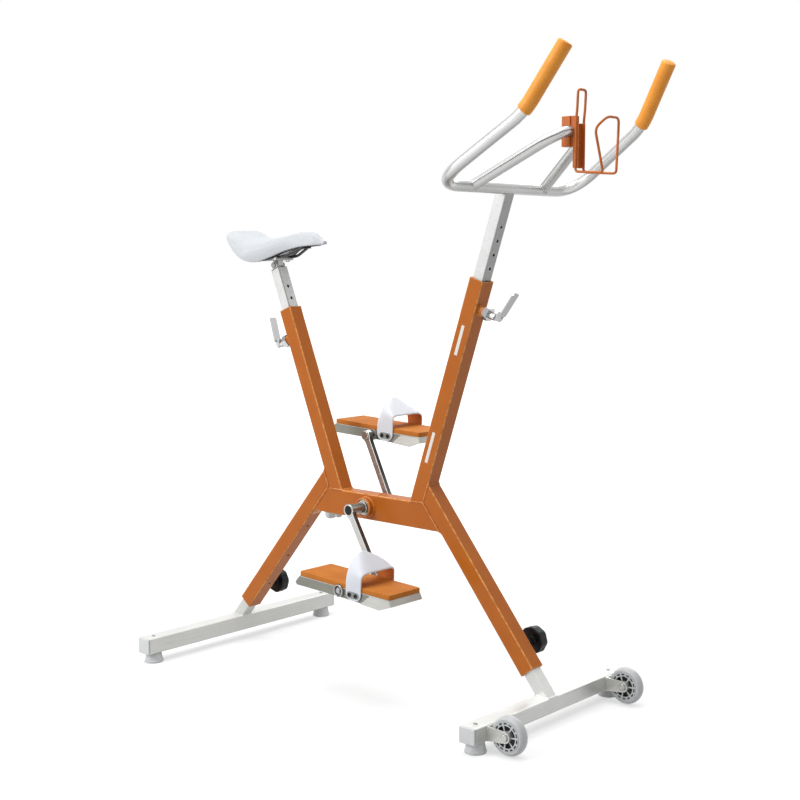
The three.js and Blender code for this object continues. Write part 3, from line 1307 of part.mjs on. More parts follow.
function wheelHub(side) {
  const centre = at(WHEEL_X, side * WHEEL_Y, WHEEL_Z);
  const offset = (distance) => centre.clone().addScaledVector(ACROSS, distance);
  const half = HUB_WIDTH / 2;
  const rim = ring(HUB_RADIUS - HUB_RIM, HUB_RADIUS, HUB_WIDTH, offset(-half), ACROSS, FINE);
  const web = ring(
    HUB_BOSS_RADIUS - HUB_OVERLAP, HUB_RADIUS - HUB_RIM / 2, HUB_WEB, offset(-HUB_WEB / 2), ACROSS, FINE,
  );
  const bossLength = WHEEL_WIDTH + FORK_PLAY;
  const boss = ring(
    AXLE_RADIUS + RUNNING_GAP, HUB_BOSS_RADIUS, bossLength, offset(-bossLength / 2), ACROSS, FINE,
  );
  let body = rim.add(web).add(boss);
  const inner = HUB_BOSS_RADIUS + SPOKE_HALF_WIDTH;
  const outer = HUB_RADIUS - HUB_RIM - SPOKE_HALF_WIDTH / 2;
  for (let i = 0; i < SPOKE_COUNT; i += 1) {
    const start = (i * 2 * Math.PI) / SPOKE_COUNT;
    const span = (2 * Math.PI) / SPOKE_COUNT;
    const window = new THREE.Shape();
    const innerGap = Math.asin(SPOKE_HALF_WIDTH / inner);
    const outerGap = Math.asin(SPOKE_HALF_WIDTH / outer);
    window.absarc(0, 0, outer, start + outerGap, start + span - outerGap);
    window.absarc(0, 0, inner, start + span - innerGap, start + innerGap, true);
    window.closePath();
    const cutter = prism(window, HUB_WIDTH, offset(-half), FORWARD, ACROSS);
    body = body.subtract(cutter);
  }
  return body;
}

// A fluted clamping knob with its neck and the stud that presses on the stem.
function legKnob(axis, shown) {
  const centre = axis.point(shown + KNOB_UP_LEG);
  const neckStart = TUBE_WIDTH / 2 + SEAT_GAP;
  const knobStart = neckStart + KNOB_NECK_LENGTH;
  const offset = (y) => centre.clone().setY(y);
  const shape = new THREE.Shape();
  const steps = KNOB_FLUTES * FLUTE_STEPS;
  for (let i = 0; i < steps; i += 1) {
    const angle = (i * 2 * Math.PI) / steps;
    const radius = KNOB_RADIUS - KNOB_FLUTE_DEPTH * (1 - Math.cos(KNOB_FLUTES * angle)) / 2;
    const [x, y] = [radius * Math.cos(angle), radius * Math.sin(angle)];
    if (i === 0) shape.moveTo(x, y);
    else shape.lineTo(x, y);
  }
  shape.closePath();
  const head = prism(shape, KNOB_THICKNESS, offset(knobStart), axis.ahead, ACROSS, KNOB_BEVEL);
  const neck = turned([
    [0, neckStart],
    [KNOB_NECK_RADIUS, neckStart],
    [KNOB_NECK_RADIUS, knobStart - KNOB_BEVEL],
    [KNOB_NECK_RADIUS + KNOB_BEVEL, knobStart + KNOB_BEVEL],
    [0, knobStart + KNOB_BEVEL],
  ], offset(0), ACROSS, FINE);
  const stud = rod(
    KNOB_STUD_RADIUS, offset(POST_WIDTH / 2 + SLIDE_GAP), offset(neckStart + KNOB_BEVEL), COARSE,
  );
  return head.add(neck).add(stud);
}

const crankCentre = at(0, 0, CRANK_HEIGHT);

function crankShell() {
  const start = crankCentre.clone().setY(-SHELL_LENGTH / 2);
  return ring(SHELL_BORE, SHELL_RADIUS, SHELL_LENGTH, start, ACROSS);
}

function bearingCup(side) {
  const face = SHELL_LENGTH / 2 + SEAT_GAP;
  const bore = SPINDLE_RADIUS + RUNNING_GAP;
  const profile = [
    [bore, face + CUP_FLANGE],
    [CUP_FLANGE_RADIUS, face + CUP_FLANGE],
    [CUP_FLANGE_RADIUS, face],
    [SHELL_BORE - SEAT_GAP, face],
    [SHELL_BORE - SEAT_GAP, face - CUP_DEPTH],
    [bore, face - CUP_DEPTH],
    [bore, face + CUP_FLANGE],
  ];
  return turned(profile, crankCentre, ACROSS.clone().multiplyScalar(side), FINE);
}

function spindle() {
  const reach = CRANK_FACE_Y - CRANK_THICKNESS - SEAT_GAP;
  const round = rod(SPINDLE_RADIUS, crankCentre.clone().setY(-reach), crankCentre.clone().setY(reach), ROUND);
  const squareReach = CRANK_FACE_Y - CRANK_CAP_DEPTH - SEAT_GAP;
  const shape = roundedRectangle(SPINDLE_SQUARE, SPINDLE_SQUARE, SPINDLE_CORNER);
  const square = prism(
    shape, 2 * squareReach, crankCentre.clone().setY(-squareReach), crankAlong(1), ACROSS,
  );
  return round.add(square);
}

function crankAlong(side) {
  const along = at(Math.cos(CRANK_ANGLE), 0, Math.sin(CRANK_ANGLE));
  return side < 0 ? along : along.negate();
}

const pedalCentre = (side) => crankCentre.clone().addScaledVector(crankAlong(side), CRANK_LENGTH);

// A crank arm, drawn along its own length from the spindle eye to the pedal eye.
function crankOutline() {
  const shape = new THREE.Shape();
  const quarter = Math.PI / 2;
  const eyeTurn = quarter * CRANK_EYE_TURN_SHARE;
  const pedalTurn = quarter * CRANK_PEDAL_TURN_SHARE;
  const waistStart = CRANK_WAIST_START;
  shape.absarc(0, 0, CRANK_EYE_RADIUS, eyeTurn, 2 * Math.PI - eyeTurn);
  shape.quadraticCurveTo(CRANK_EYE_RADIUS, -CRANK_WAIST, waistStart, -CRANK_WAIST);
  shape.lineTo(CRANK_LENGTH - waistStart, -CRANK_WAIST);
  shape.quadraticCurveTo(
    CRANK_LENGTH - CRANK_EYE_RADIUS, -CRANK_WAIST, CRANK_LENGTH - CRANK_WAIST, -CRANK_NECK,
  );
  shape.absarc(CRANK_LENGTH, 0, CRANK_PEDAL_RADIUS, -pedalTurn, pedalTurn);
  shape.quadraticCurveTo(
    CRANK_LENGTH - CRANK_EYE_RADIUS, CRANK_WAIST, CRANK_LENGTH - waistStart, CRANK_WAIST,
  );
  shape.lineTo(waistStart, CRANK_WAIST);
  shape.closePath();
  return shape;
}

function crank(side) {
  const innerY = CRANK_FACE_Y - CRANK_THICKNESS;
  const origin = crankCentre.clone().setY(side > 0 ? innerY : -CRANK_FACE_Y);
  const along = crankAlong(side);
  const arm = prism(crankOutline(), CRANK_THICKNESS, origin, along, ACROSS, CRANK_BEVEL, SMOOTH_ARC);
  const holeSize = SPINDLE_SQUARE + 2 * SEAT_GAP;
  const hole = prism(
    roundedRectangle(holeSize, holeSize, SPINDLE_CORNER), CRANK_THICKNESS + 2 * OVERCUT,
    origin.clone().addScaledVector(ACROSS, -OVERCUT), along, ACROSS,
  );
  const faceY = side * CRANK_FACE_Y;
  const recess = rod(
    CRANK_CAP_RADIUS,
    crankCentre.clone().setY(faceY - side * CRANK_CAP_DEPTH),
    crankCentre.clone().setY(faceY + side * OVERCUT), FINE,
  );
  const axleEnd = side * (PEDAL_INNER_Y + PEDAL_WIDTH + PEDAL_BOSS_LENGTH / 2);
  const eye = pedalCentre(side);
  const axleStart = side * (innerY + CRANK_THICKNESS / 2);
  const axle = rod(PEDAL_AXLE_RADIUS, eye.clone().setY(axleStart), eye.clone().setY(axleEnd), FINE);
  const collar = rod(
    PEDAL_COLLAR_RADIUS, eye.clone().setY(side * (CRANK_FACE_Y - CRANK_BEVEL)),
    eye.clone().setY(side * (CRANK_FACE_Y + CRANK_BEVEL * 2)), FINE,
  );
  return arm.subtract(hole).subtract(recess).add(axle).add(collar);
}

// A pedal's own frame: x along the foot, z up from the axle, tilted toe down.
function pedalFrame(side) {
  const along = at(Math.cos(PEDAL_TILT), 0, -Math.sin(PEDAL_TILT));
  const up = at(Math.sin(PEDAL_TILT), 0, Math.cos(PEDAL_TILT));
  const origin = pedalCentre(side);
  const middleY = side * (PEDAL_INNER_Y + PEDAL_WIDTH / 2);
  const point = (x, y, z) => origin.clone().setY(middleY + side * y)
    .addScaledVector(along, x).addScaledVector(up, z);
  return { along, up, point };
}

function rectanglePoint(turn, length, width, corner) {
  const points = roundedRectangle(length, width, corner).getPoints(TRAY_ARC);
  return points[Math.round(turn * (points.length - 1)) % (points.length - 1)];
}

const RECTANGLE_STEPS = roundedRectangle(PEDAL_BACK, PEDAL_WIDTH, PEDAL_CORNER)
  .getPoints(TRAY_ARC).length - 1;

// A flat-topped dish whose ends and sides draw in towards its lower rim.
function taperedDish(side, inset, top, bottom) {
  const frame = pedalFrame(side);
  const middle = (PEDAL_FRONT - PEDAL_BACK) / 2;
  const length = PEDAL_FRONT + PEDAL_BACK - 2 * inset;
  const width = PEDAL_WIDTH - 2 * inset;
  return loft((along, turn) => {
    const height = THREE.MathUtils.lerp(top, bottom, along);
    const share = (top - height) / TRAY_DEPTH;
    const corner = rectanglePoint(
      turn, length - 2 * share * TRAY_END_SLOPE, width - 2 * share * TRAY_SIDE_SLOPE, PEDAL_CORNER,
    );
    return frame.point(corner.x + middle, corner.y, height);
  }, 1, RECTANGLE_STEPS);
}

function pedalTray(side) {
  const frame = pedalFrame(side);
  const top = PEDAL_PAD_TOP - PEDAL_PAD_THICKNESS - SEAT_GAP;
  const outer = taperedDish(side, SEAT_GAP, top, top - TRAY_DEPTH);
  const inner = taperedDish(side, TRAY_WALL, top - TRAY_WALL, top - TRAY_DEPTH - OVERCUT);
  const half = PEDAL_WIDTH / 2;
  const tube = rod(PEDAL_TUBE_RADIUS, frame.point(0, -half, 0), frame.point(0, half, 0));
  let body = outer.subtract(inner).add(tube);
  const ends = [
    [-half - PEDAL_BOSS_LENGTH, -half + SEAT_GAP + TRAY_WALL],
    [half - SEAT_GAP - TRAY_WALL, half + PEDAL_BOSS_LENGTH],
  ];
  for (const [from, to] of ends) {
    const boss = rod(PEDAL_BOSS_RADIUS, frame.point(0, from, 0), frame.point(0, to, 0), FINE);
    body = body.add(boss);
  }
  const padSpace = prism(
    roundedRectangle(PEDAL_FRONT + PEDAL_BACK, PEDAL_WIDTH + 2 * SEAT_GAP, PEDAL_CORNER),
    PEDAL_BOSS_RADIUS, frame.point((PEDAL_FRONT - PEDAL_BACK) / 2, 0, top), frame.along, frame.up,
  );
  const reach = half + PEDAL_BOSS_LENGTH + OVERCUT;
  const bore = rod(PEDAL_AXLE_RADIUS + RUNNING_GAP, frame.point(0, -reach, 0), frame.point(0, reach, 0));
  return body.subtract(padSpace).subtract(bore);
}

function pedalPad(side) {
  const frame = pedalFrame(side);
  const shape = roundedRectangle(PEDAL_FRONT + PEDAL_BACK, PEDAL_WIDTH, PEDAL_CORNER);
  const bottom = PEDAL_PAD_TOP - PEDAL_PAD_THICKNESS;
  const base = frame.point((PEDAL_FRONT - PEDAL_BACK) / 2, 0, bottom);
  return prism(shape, PEDAL_PAD_THICKNESS, base, frame.along, frame.up, CRANK_BEVEL);
}

// A point of the strap: straight legs up past the pad, then an arch that falls to the toe.
function strapPoint(frame, share, turn, inset) {
  const x = THREE.MathUtils.lerp(STRAP_BACK_X, STRAP_FRONT_X, share);
  const top = THREE.MathUtils.lerp(STRAP_BACK_TOP, STRAP_FRONT_TOP, share) - inset;
  const half = PEDAL_WIDTH / 2 + SEAT_GAP + STRAP_THICKNESS - inset;
  const shoulder = PEDAL_PAD_TOP + SEAT_GAP;
  const leg = Math.min(turn, 1 - turn) / STRAP_LEG_SHARE;
  if (leg < 1) {
    const height = THREE.MathUtils.lerp(-STRAP_LUG_DROP, shoulder, leg);
    return frame.point(x, turn < 1 - turn ? half : -half, height);
  }
  const angle = (Math.PI * (turn - STRAP_LEG_SHARE)) / (1 - 2 * STRAP_LEG_SHARE);
  const power = 2 / THREE.MathUtils.lerp(STRAP_ROUNDNESS, STRAP_SQUARENESS, share);
  const rise = Math.abs(Math.sin(angle)) ** power;
  const y = half * Math.sign(Math.cos(angle)) * Math.abs(Math.cos(angle)) ** power;
  return frame.point(x, y, shoulder + (top - shoulder) * rise);
}

function pedalStrap(side) {
  const frame = pedalFrame(side);
  const around = 2 * STRAP_ACROSS_STEPS + 2;
  return loft((along, turn) => {
    const step = Math.round(turn * around);
    const outer = step <= STRAP_ACROSS_STEPS;
    const back = step - STRAP_ACROSS_STEPS - 1;
    const share = outer ? step / STRAP_ACROSS_STEPS : 1 - back / STRAP_ACROSS_STEPS;
    return strapPoint(frame, share, along, outer ? 0 : STRAP_THICKNESS);
  }, STRAP_STEPS, around);
}

// The pale plug pair under the beam's rear end, on one small plate.
function beamPlug() {
  const top = BEAM_BOTTOM - SEAT_GAP;
  const dome = (x, radius, drop) => turned([
    [0, 0],
    [radius, 0],
    ...PLUG_DOME_SHARES.map(([wide, deep]) => [radius * wide, drop * deep]),
    [0, drop],
  ], at(x, 0, top), UP.clone().negate(), COARSE);
  const plate = block(
    at(PLUG_X, -PLUG_SMALL_RADIUS, top - PLUG_PLATE), at(PLUG_SMALL_X, PLUG_SMALL_RADIUS, top),
  );
  const big = dome(PLUG_X, PLUG_RADIUS, PLUG_DROP);
  return big.add(dome(PLUG_SMALL_X, PLUG_SMALL_RADIUS, PLUG_SMALL_DROP)).add(plate);
}

function addFrame(group) {
  group.add(meshOf("seat_tube", uprightTube(seatAxis, SEAT_TUBE_LENGTH, seatLock), "orange"));
  group.add(meshOf("handlebar_tube", uprightTube(barAxis, BAR_TUBE_LENGTH, barLock), "orange"));
  group.add(meshOf("cross_beam", crossBeam(), "orange"));
  group.add(meshOf("rear_leg", leg(rearLegAxis, REAR_STEM_SHOWN, seatAxis, -1, 1), "orange"));
  group.add(meshOf("front_leg", leg(frontLegAxis, FRONT_STEM_SHOWN, barAxis, 1, -1), "orange"));
  group.add(meshOf("crank_shell", crankShell(), "orange"));
  group.add(meshOf("beam_plug", beamPlug(), "palePlastic"));
  group.add(meshOf("seat_sleeve", boredSleeve(seatAxis, SEAT_TUBE_LENGTH, seatLock), "black"));
  group.add(meshOf("handlebar_sleeve", boredSleeve(barAxis, BAR_TUBE_LENGTH, barLock), "black"));
  group.add(meshOf("rear_leg_sleeve", knobSleeve(rearLegAxis, REAR_STEM_SHOWN), "black"));
  group.add(meshOf("front_leg_sleeve", knobSleeve(frontLegAxis, FRONT_STEM_SHOWN), "black"));
}

function addSaddle(group) {
  group.add(meshOf("seat_post", seatPost(), "steel"));
  group.add(meshOf("saddle_cradle", saddleCradle(), "satin"));
  group.add(meshOf("saddle_clamp_plate", saddleClampPlate(), "satin"));
  group.add(meshOf("saddle_rails", railWire(RAIL_RADIUS), "black"));
  group.add(meshOf("saddle_base", saddleBase(), "black"));
  const cover = saddleLayer(0, 1, 0, SADDLE_PAD, SADDLE_RINGS, SADDLE_AROUND);
  group.add(meshOf("saddle_cover", cover, "palePlastic"));
}

function addHandlebar(group) {
  group.add(meshOf("handlebar_post", handlebarPost(), "steel"));
  group.add(meshOf("handlebar", handlebar(), "chrome"));
  group.add(meshOf("handlebar_loop", handlebarLoop(), "chrome"));
  for (const { name, sign } of SIDES) {
    group.add(meshOf(`grip_${name}`, grip(sign), "brightOrange"));
  }
  group.add(meshOf("cage_clamp", cageClampRear(), "copper"));
  group.add(meshOf("cage_plate", cagePlate(), "copper"));
  group.add(meshOf("cage_wire", cageWire(), "copper"));
}

function addLocks(group) {
  const locks = [["seat", seatLock, SEAT_LEVER_LEAN], ["handlebar", barLock, BAR_LEVER_LEAN]];
  for (const [name, lock, lean] of locks) {
    group.add(meshOf(`${name}_lock_barrel`, lockBarrel(lock), "chrome"));
    group.add(meshOf(`${name}_lock_pin`, lockPin(lock), "steel"));
    group.add(meshOf(`${name}_lock_lever`, lockLever(lock, lean), "chrome"));
  }
}

function addFeet(group) {
  for (const [name, spec] of [["rear", REAR_FOOT], ["front", FRONT_FOOT]]) {
    group.add(meshOf(`${name}_foot`, foot(spec), "steel"));
    group.add(meshOf(`${name}_knob`, legKnob(spec.axis, spec.shown), "black"));
    for (const side of SIDES) {
      group.add(meshOf(`${name}_cap_${side.name}`, footCap(spec, side.sign), "palePlastic"));
      group.add(meshOf(`${name}_pad_${side.name}`, footPad(spec, side.sign), "palePlastic"));
    }
  }
  for (const { name, sign } of SIDES) {
    group.add(meshOf(`wheel_fork_${name}`, wheelFork(sign), "steel"));
    group.add(meshOf(`wheel_hub_${name}`, wheelHub(sign), "wheelGrey"));
    group.add(meshOf(`wheel_tyre_${name}`, wheelTyre(sign), "wheelGrey"));
  }
}

function addDrive(group) {
  group.add(meshOf("crank_spindle", spindle(), "chrome"));
  for (const { name, sign } of SIDES) {
    group.add(meshOf(`bearing_cup_${name}`, bearingCup(sign), "satin"));
    group.add(meshOf(`crank_${name}`, crank(sign), "chrome"));
    group.add(meshOf(`pedal_tray_${name}`, pedalTray(sign), "satin"));
    group.add(meshOf(`pedal_pad_${name}`, pedalPad(sign), "brightOrange"));
    group.add(meshOf(`pedal_strap_${name}`, pedalStrap(sign), "white"));
  }
}

// The whole bike, moved so that its origin is on the ground under its bounding box.
function aquaBike() {
  const group = new THREE.Group();
  group.name = "aqua_bike";
  addFrame(group);
  addSaddle(group);
  addHandlebar(group);
  addLocks(group);
  addFeet(group);
  addDrive(group);
  const box = new THREE.Box3().setFromObject(group);
  const middleX = (box.min.x + box.max.x) / 2;
  for (const mesh of group.children) mesh.geometry.translate(-middleX, 0, 0);
  return group;
}

export default aquaBike();
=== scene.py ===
"""A pool exercise bike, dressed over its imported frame.

Lengths in the sizes are millimetres in the frame of the bike's makers: x ahead of the crank,
y to the rider's left, z above the ground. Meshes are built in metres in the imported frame.
"""

import json
import logging
import math
from dataclasses import dataclass
from enum import Enum
from functools import cache
from typing import Any, Iterable, Optional, Sequence

import bmesh
import bpy
import numpy as np
from mathutils import Matrix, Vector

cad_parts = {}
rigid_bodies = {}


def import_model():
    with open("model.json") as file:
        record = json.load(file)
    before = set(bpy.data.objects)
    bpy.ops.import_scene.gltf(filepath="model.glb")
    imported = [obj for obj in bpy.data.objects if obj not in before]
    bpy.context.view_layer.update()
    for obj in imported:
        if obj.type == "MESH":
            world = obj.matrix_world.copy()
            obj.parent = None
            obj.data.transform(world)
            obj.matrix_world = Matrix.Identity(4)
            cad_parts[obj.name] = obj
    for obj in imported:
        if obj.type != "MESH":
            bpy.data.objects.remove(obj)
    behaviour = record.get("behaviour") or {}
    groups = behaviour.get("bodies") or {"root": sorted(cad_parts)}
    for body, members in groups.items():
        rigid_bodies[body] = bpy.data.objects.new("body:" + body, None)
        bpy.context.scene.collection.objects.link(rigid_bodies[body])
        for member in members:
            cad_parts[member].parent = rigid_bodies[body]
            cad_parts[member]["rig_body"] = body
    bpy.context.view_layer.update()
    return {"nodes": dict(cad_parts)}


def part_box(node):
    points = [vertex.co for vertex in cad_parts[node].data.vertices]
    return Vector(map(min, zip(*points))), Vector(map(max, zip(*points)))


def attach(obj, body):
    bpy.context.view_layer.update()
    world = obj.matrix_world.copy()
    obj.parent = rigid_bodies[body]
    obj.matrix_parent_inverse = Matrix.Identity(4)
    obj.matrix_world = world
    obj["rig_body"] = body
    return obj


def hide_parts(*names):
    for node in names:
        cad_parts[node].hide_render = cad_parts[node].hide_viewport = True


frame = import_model()

Array = np.ndarray
Pair = tuple[float, float]
Triple = tuple[float, float, float]
Row = tuple[float, ...]
Pairs = tuple[Pair, ...]
Triples = tuple[Triple, ...]
Four = tuple[float, float, float, float]
Piece = bpy.types.Object
LOG = logging.getLogger("pool_bike")
MM = 0.001
MICRON = 0.000001
ACROSS = np.array([0.0, 1.0, 0.0])
UP = np.array([0.0, 0.0, 1.0])
FORWARD = np.array([1.0, 0.0, 0.0])
LEFT, RIGHT = 1, -1
SIDE_NAMES = {LEFT: "left", RIGHT: "right"}
MERGE_WITHIN = 2e-6
FLAT_WITHIN = 0.6


# Points, paths and surfaces as whole arrays.


def home_x() -> float:
    """Packed x of the crank in millimetres, where the makers' x is zero."""
    low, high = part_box("crank_shell")
    return (low.x + high.x) / 2 / MM


HOME = np.array([home_x(), 0.0, 0.0])


def at(*points: float) -> Array:
    """A point of the makers' frame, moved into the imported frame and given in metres."""
    return (np.asarray(points, float) + HOME) * MM


def unit(vectors: Array) -> Array:
    """Vectors scaled to length one along their last axis."""
    return vectors / np.linalg.norm(vectors, axis=-1, keepdims=True)


def smooth_row(sizes: Sequence[float], shares: Array) -> Array:
    """Evenly spaced sizes joined by cubic Hermite pieces whose slope is half the neighbours' step.

    Args:
        sizes: The row of sizes.
        shares: Places along the row, from 0 to 1.

    Returns:
        The size at each place.
    """
    row = np.asarray(sizes, float)
    place = np.clip(shares, 0, 1) * (len(row) - 1)
    low = np.minimum(place.astype(int), len(row) - 2)
    t = place - low
    around = (row[np.clip(low + step, 0, len(row) - 1)] for step in (-1, 0, 1, 2))
    before, start, end, after = around
    rising = (t**3 - 2 * t**2 + t) * (end - before) / 2 + (t**3 - t**2) * (after - start) / 2
    return (2 * t**3 - 3 * t**2 + 1) * start + (3 * t**2 - 2 * t**3) * end + rising


def eased(count: int, share: float) -> Array:
    """Places from 0 to 1, even but for a share that crowds the ends as half a cosine does."""
    crowded = (1 - np.cos(np.linspace(0, np.pi, count))) / 2
    return share * crowded + (1 - share) * np.linspace(0, 1, count)


def bent_path(points: Array, bends: Sequence[float], steps: int = 12) -> Array:
    """Straight runs whose corners become quadratic bends: (1-t)^2 a + 2t(1-t) corner + t^2 b.

    Args:
        points: Corner points with the two ends, in metres.
        bends: For each inner corner, how far before and after it the bend starts, in metres.
        steps: Steps in a bend.

    Returns:
        The path's points.
    """
    corners = points[1:-1, None]
    reach = np.asarray(bends, float)[:, None, None]
    before = corners + unit(points[:-2, None] - corners) * reach
    after = corners + unit(points[2:, None] - corners) * reach
    t = np.linspace(0, 1, steps + 1)[None, :, None]
    curves = (1 - t) ** 2 * before + 2 * t * (1 - t) * corners + t**2 * after
    return np.vstack([points[:1], curves.reshape(-1, 3), points[-1:]])


def mirrored_path(
    left: Sequence[Triple], bends: Sequence[float], origin: Array, steps: int = 12
) -> Array:
    """A bent path through points on the left and then their mirror images on the right.

    Args:
        left: The left half's points, in millimetres from the origin.
        bends: For each of its bends, how far before and after the corner it starts.
        origin: Where the points are measured from, in metres.
        steps: Steps in a bend.

    Returns:
        The path's points in metres.
    """
    half = np.asarray(left, float) * MM
    both = np.array([*bends, *bends[::-1]]) * MM
    return bent_path(np.vstack([half, (half * [1, -1, 1])[::-1]]) + origin, both, steps)


def run_so_far(path: Array) -> Array:
    """The length of a path up to each of its points."""
    return np.linalg.norm(np.diff(path, axis=0, prepend=path[:1]), axis=1).cumsum()


def resampled(path: Array, step: float, closed: bool = False) -> Array:
    """A path's points at even spacing: each coordinate read against the length run so far."""
    line = np.vstack([path, path[:1]]) if closed else path
    run = run_so_far(line)
    count = max(4, int(round(run[-1] / step)))
    places = np.linspace(0, run[-1], count + 1)
    even = np.stack([np.interp(places, run, line[:, i]) for i in range(3)], axis=1)
    return even[:-1] if closed else even


def circle(radius: float, sides: int) -> Array:
    """A round outline: radius times cosine and sine of evenly spaced angles."""
    angles = np.arange(sides) * 2 * np.pi / sides
    return radius * np.stack([np.cos(angles), np.sin(angles)], axis=1)


def rounded_outline(length: float, width: float, corner: float, steps: int = 6) -> Array:
    """A rectangle with quarter-circle corners, counter-clockwise from its lower right corner."""
    angles = np.linspace(-np.pi / 2, 0, steps + 1)[None, :] + np.arange(4)[:, None] * np.pi / 2
    reach = [length / 2 - corner, width / 2 - corner]
    middles = np.array([[1, -1], [1, 1], [-1, 1], [-1, -1]]) * reach
    arcs = corner * np.stack([np.cos(angles), np.sin(angles)], axis=2)
    return (middles[:, None] + arcs).reshape(-1, 2)


@dataclass
class Surface:
    """Points in metres with the faces between them."""

    points: Array
    faces: list[tuple[int, ...]]

    def __add__(self, other: "Surface") -> "Surface":
        """Both surfaces in one, side by side."""
        shift = len(self.points)
        moved = [tuple(i + shift for i in face) for face in other.faces]
        return Surface(np.vstack([self.points, other.points]), self.faces + moved)


def joined(shapes: Iterable[Surface]) -> Surface:
    """Several surfaces in one."""
    total = Surface(np.zeros((0, 3)), [])
    for shape in shapes:
        total = total + shape
    return total


def grid(rings: Array, looped: bool = False) -> Surface:
    """Faces between neighbouring rings of points, each ring closed on itself.

    Args:
        rings: Points as (ring, around, 3).
        looped: Whether the last ring joins the first. Else flat faces close the two end rings.

    Returns:
        The surface.
    """
    count, around = rings.shape[:2]
    index = np.arange(count * around).reshape(count, around)
    low = index if looped else index[:-1]
    high = np.roll(index, -1, axis=0) if looped else index[1:]
    quads = np.stack([low, np.roll(low, -1, 1), np.roll(high, -1, 1), high], axis=2)
    faces = [tuple(face) for face in quads.reshape(-1, 4).tolist()]
    if not looped:
        faces += [tuple(index[0][::-1].tolist()), tuple(index[-1].tolist())]
    return Surface(rings.reshape(-1, 3), faces)


def carried(path: Array, outline: Array, looped: bool = False) -> Surface:
    """Carries a flat outline along a path.

    A ring is the path's point plus the outline's x times a side vector and y times a second one,
    both square to the path. The side is the cross product of the path's direction with one fixed
    vector: of some tried at random, the one that stays furthest from the path.

    Args:
        path: The path's points in metres.
        outline: (around, 2), or (ring, around, 2) where the outline changes along the path.
        looped: Whether the path closes on itself.

    Returns:
        The closed surface.
    """
    if looped:
        ahead = unit(np.roll(path, -1, 0) - path) + unit(path - np.roll(path, 1, 0))
    else:
        steps = unit(np.diff(path, axis=0))
        ahead = np.vstack([steps[:1], steps]) + np.vstack([steps, steps[-1:]])
    ahead = unit(ahead)
    tries = unit(np.random.default_rng(4).normal(size=(240, 3)))
    clear = np.linalg.norm(np.cross(ahead[None], tries[:, None]), axis=2).min(axis=1)
    side = unit(np.cross(ahead, tries[int(np.argmax(clear))]))
    second = np.cross(side, ahead)
    flat = outline if outline.ndim == 3 else outline[None]
    rings = path[:, None] + flat[..., :1] * side[:, None] + flat[..., 1:] * second[:, None]
    return grid(rings, looped=looped)


def turned(
    profile: Array, origin: Array, axis: Array, sides: int = 48, looped: bool = False
) -> Surface:
    """Turns a profile round an axis.

    A ring is the origin plus the profile's distance along the axis, plus its radius times the
    cosine and sine of even angles on two vectors square to the axis.

    Args:
        profile: Rows of radius and distance along the axis, in metres.
        origin: Where the distance is zero.
        axis: Direction of the axis.
        sides: Points round the axis.
        looped: Whether the profile closes on itself, as a ring's does.

    Returns:
        The closed surface, with poles left to be merged where the radius is zero.
    """
    along = unit(axis)
    first = unit(np.cross(along, FORWARD if abs(along[0]) < 0.9 else ACROSS))
    second = np.cross(along, first)
    spin = circle(1.0, sides)
    radial = spin[:, :1] * first + spin[:, 1:] * second
    rings = origin + profile[:, 1, None, None] * along + profile[:, 0, None, None] * radial[None]
    return grid(rings, looped=looped)


def extruded(outline: Array, origin: Array, own_x: Array, own_y: Array, length: Array) -> Surface:
    """A flat outline at an origin, with its own x and y directions, carried over a length."""
    base = origin + outline[:, :1] * own_x + outline[:, 1:] * own_y
    return grid(np.stack([base, base + length]))


@dataclass(frozen=True)
class Line:
    """A straight axis with the direction that its sections call ahead."""

    origin: Array
    along: Array
    ahead: Array

    @property
    def side(self) -> Array:
        """The third direction of a section."""
        return np.cross(self.along, self.ahead)

    def point(self, distance: float, ahead: float = 0.0) -> Array:
        """A point given in millimetres along the axis and ahead of it."""
        return self.origin + (distance * self.along + ahead * self.ahead) * MM

    def section(self, outline: Array, plane: "Plane") -> Array:
        """The outline, in metres, slid along the axis until each point lies on the plane."""
        flat = self.origin + outline[:, :1] * self.ahead + outline[:, 1:] * self.side
        slide = ((plane.point - flat) @ plane.normal) / (self.along @ plane.normal)
        return flat + slide[:, None] * self.along

    def square(self, distance: float) -> "Plane":
        """The plane square to the axis at a distance in millimetres."""
        return Plane(self.point(distance), self.along)


@dataclass(frozen=True)
class Plane:
    """A plane through a point."""

    point: Array
    normal: Array


def middle_line(x: float, z: float, direction: float) -> Line:
    """An axis in the bike's middle plane, at an angle in degrees from straight ahead."""
    angle = math.radians(direction)
    along = np.array([math.cos(angle), 0.0, math.sin(angle)])
    ahead = np.array([along[2], 0.0, -along[0]])
    return Line(at(x, 0, z), along, ahead if ahead[0] >= 0 else -ahead)


@dataclass(frozen=True)
class Profile:
    """A rectangular tube's section, in millimetres: depth is ahead and width is across."""

    depth: float
    width: float
    corner: float
    wall: float

    def outline(self, inset: float = 0.0, grow: float = 0.0) -> Array:
        """The rounded outline in metres, drawn in by an inset or let out by a little."""
        shift = 2 * (grow - inset)
        corner = max(self.corner - inset + grow, 0.6)
        return rounded_outline(self.depth + shift, self.width + shift, corner) * MM

    def tube(self, line: Line, low: Plane, high: Plane) -> Surface:
        """An open tube between two planes: outer low, outer high, inner high, inner low rings."""
        outer, inner = self.outline(), self.outline(self.wall)
        ends = (outer, low), (outer, high), (inner, high), (inner, low)
        return grid(np.stack([line.section(*end) for end in ends]), looped=True)


